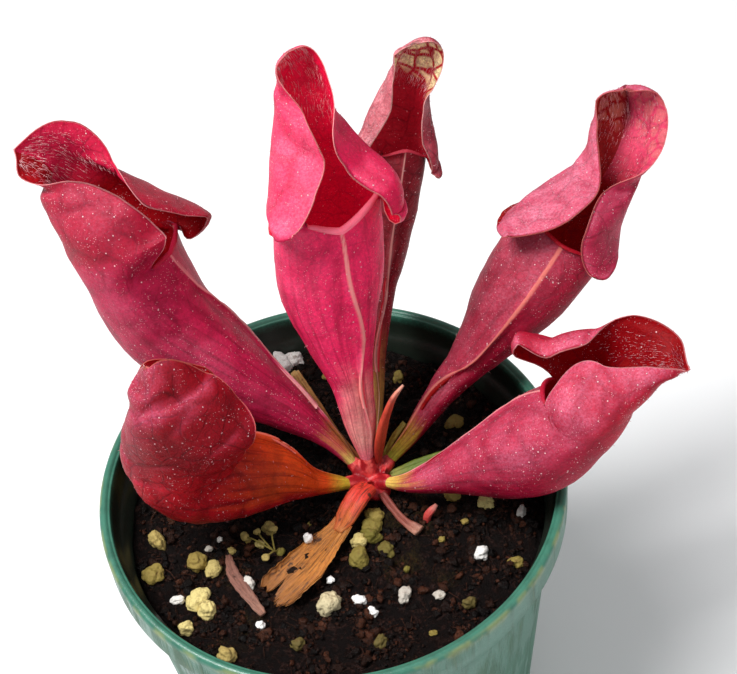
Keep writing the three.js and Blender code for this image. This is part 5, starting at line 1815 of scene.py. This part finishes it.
class PLANT_OT_pot(bpy.types.Operator):
    """Builds the round pot with its double rim and drain holes"""
    bl_idname = "pitcher_plant.pot"
    bl_label = "Pot"

    def execute(self, context):
        settings = context.scene.pot_sizes
        points, faces = turned_shape(pot_profile(settings), 224)
        piece = make_piece("pot_shell", points, faces, pot_material(settings.plastic))
        cut_drain_holes(piece)
        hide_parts("pot")
        dress(piece)
        return {"FINISHED"}


# Camera: where it stands in metres, which way it looks and which way is up, and its lens in millimetres
CAMERA_PLACE = Vector((0, -0.21573, 0.37733))
CAMERA_FORWARD = Vector((0.03725, 0.66331, -0.74742))
CAMERA_UP = Vector((0.16499, 0.73359, 0.65926))
CAMERA_LENS = 78.16


def add_light(name, place, aim, size, power):
    """A soft square light at place that shines toward aim."""
    light = bpy.data.lights.new(name, "AREA")
    light.size = size
    light.energy = power
    lamp = link_object(bpy.data.objects.new(name, light))
    lamp.location = place
    lamp.rotation_euler = (Vector(aim) - Vector(place)).to_track_quat("-Z", "Y").to_euler()


class PLANT_OT_stage(bpy.types.Operator):
    """Sets up the floor, the lights and the camera"""
    bl_idname = "pitcher_plant.stage"
    bl_label = "Stage"

    def execute(self, context):
        scene = context.scene
        stage = scene.stage_sizes
        half = stage.floor_width / 2
        corners = [(-half, -half, 0), (half, -half, 0), (half, half, 0), (-half, half, 0)]
        mesh = bpy.data.meshes.new("floor")
        mesh.from_pydata(corners, [], [(0, 1, 2, 3)])
        material, _, shader = new_material("Plain floor")
        shader.inputs["Base Color"].default_value = tuple(stage.floor_colour) + (1,)
        shader.inputs["Roughness"].default_value = 0.9
        mesh.materials.append(material)
        floor = link_object(bpy.data.objects.new("floor", mesh))
        world = bpy.data.worlds.new("Soft studio")
        scene.world = world
        world.use_nodes = True
        sky = world.node_tree.nodes["Background"].inputs
        sky["Color"].default_value = (0.95, 0.97, 1.0, 1)
        sky["Strength"].default_value = 0.38
        middle = (0.01, 0.01, 0.11)
        add_light("Key light", (-0.32, -0.04, 0.82), middle, size=0.32, power=9)
        add_light("Fill light", (0.5, -0.5, 0.6), middle, size=0.7, power=1.5)
        camera = bpy.data.cameras.new("Camera")
        camera.lens = CAMERA_LENS
        camera.sensor_width = 36
        camera.clip_start = 0.01
        view = link_object(bpy.data.objects.new("Camera", camera))
        forward = CAMERA_FORWARD.normalized()
        right = forward.cross(CAMERA_UP).normalized()
        up = right.cross(forward)
        turn = Matrix((right, up, -forward)).transposed()
        view.matrix_world = Matrix.Translation(CAMERA_PLACE) @ turn.to_4x4()
        scene.camera = view
        scene.view_settings.view_transform = "Standard"
        return {"FINISHED"}


class PLANT_PT_panel(bpy.types.Panel):
    bl_label = "Pitcher Plant"
    bl_idname = "PLANT_PT_panel"
    bl_space_type = "VIEW_3D"
    bl_region_type = "UI"
    bl_category = "Pitcher Plant"

    def draw(self, context):
        for operator in OPERATORS:
            self.layout.operator(operator.bl_idname)


SETTINGS = {
    "pitcher_sizes": PitcherSizes,
    "pot_sizes": PotSizes,
    "peat_sizes": PeatSizes,
    "stage_sizes": StageSizes,
}
OPERATORS = (
    PLANT_OT_pot, PLANT_OT_peat, PLANT_OT_crown, PLANT_OT_pitchers, PLANT_OT_small_leaves, PLANT_OT_stage,
)


def register():
    for name, settings in SETTINGS.items():
        bpy.utils.register_class(settings)
        setattr(bpy.types.Scene, name, bpy.props.PointerProperty(type=settings))
    for operator in OPERATORS:
        bpy.utils.register_class(operator)
    bpy.utils.register_class(PLANT_PT_panel)


def unregister():
    bpy.utils.unregister_class(PLANT_PT_panel)
    for operator in reversed(OPERATORS):
        bpy.utils.unregister_class(operator)
    for name, settings in SETTINGS.items():
        delattr(bpy.types.Scene, name)
        bpy.utils.unregister_class(settings)


def main():
    register()
    bpy.ops.pitcher_plant.pot()
    bpy.ops.pitcher_plant.peat()
    bpy.ops.pitcher_plant.crown()
    bpy.ops.pitcher_plant.pitchers()
    bpy.ops.pitcher_plant.small_leaves()
    bpy.ops.pitcher_plant.stage()


if __name__ == "__main__":
    main()
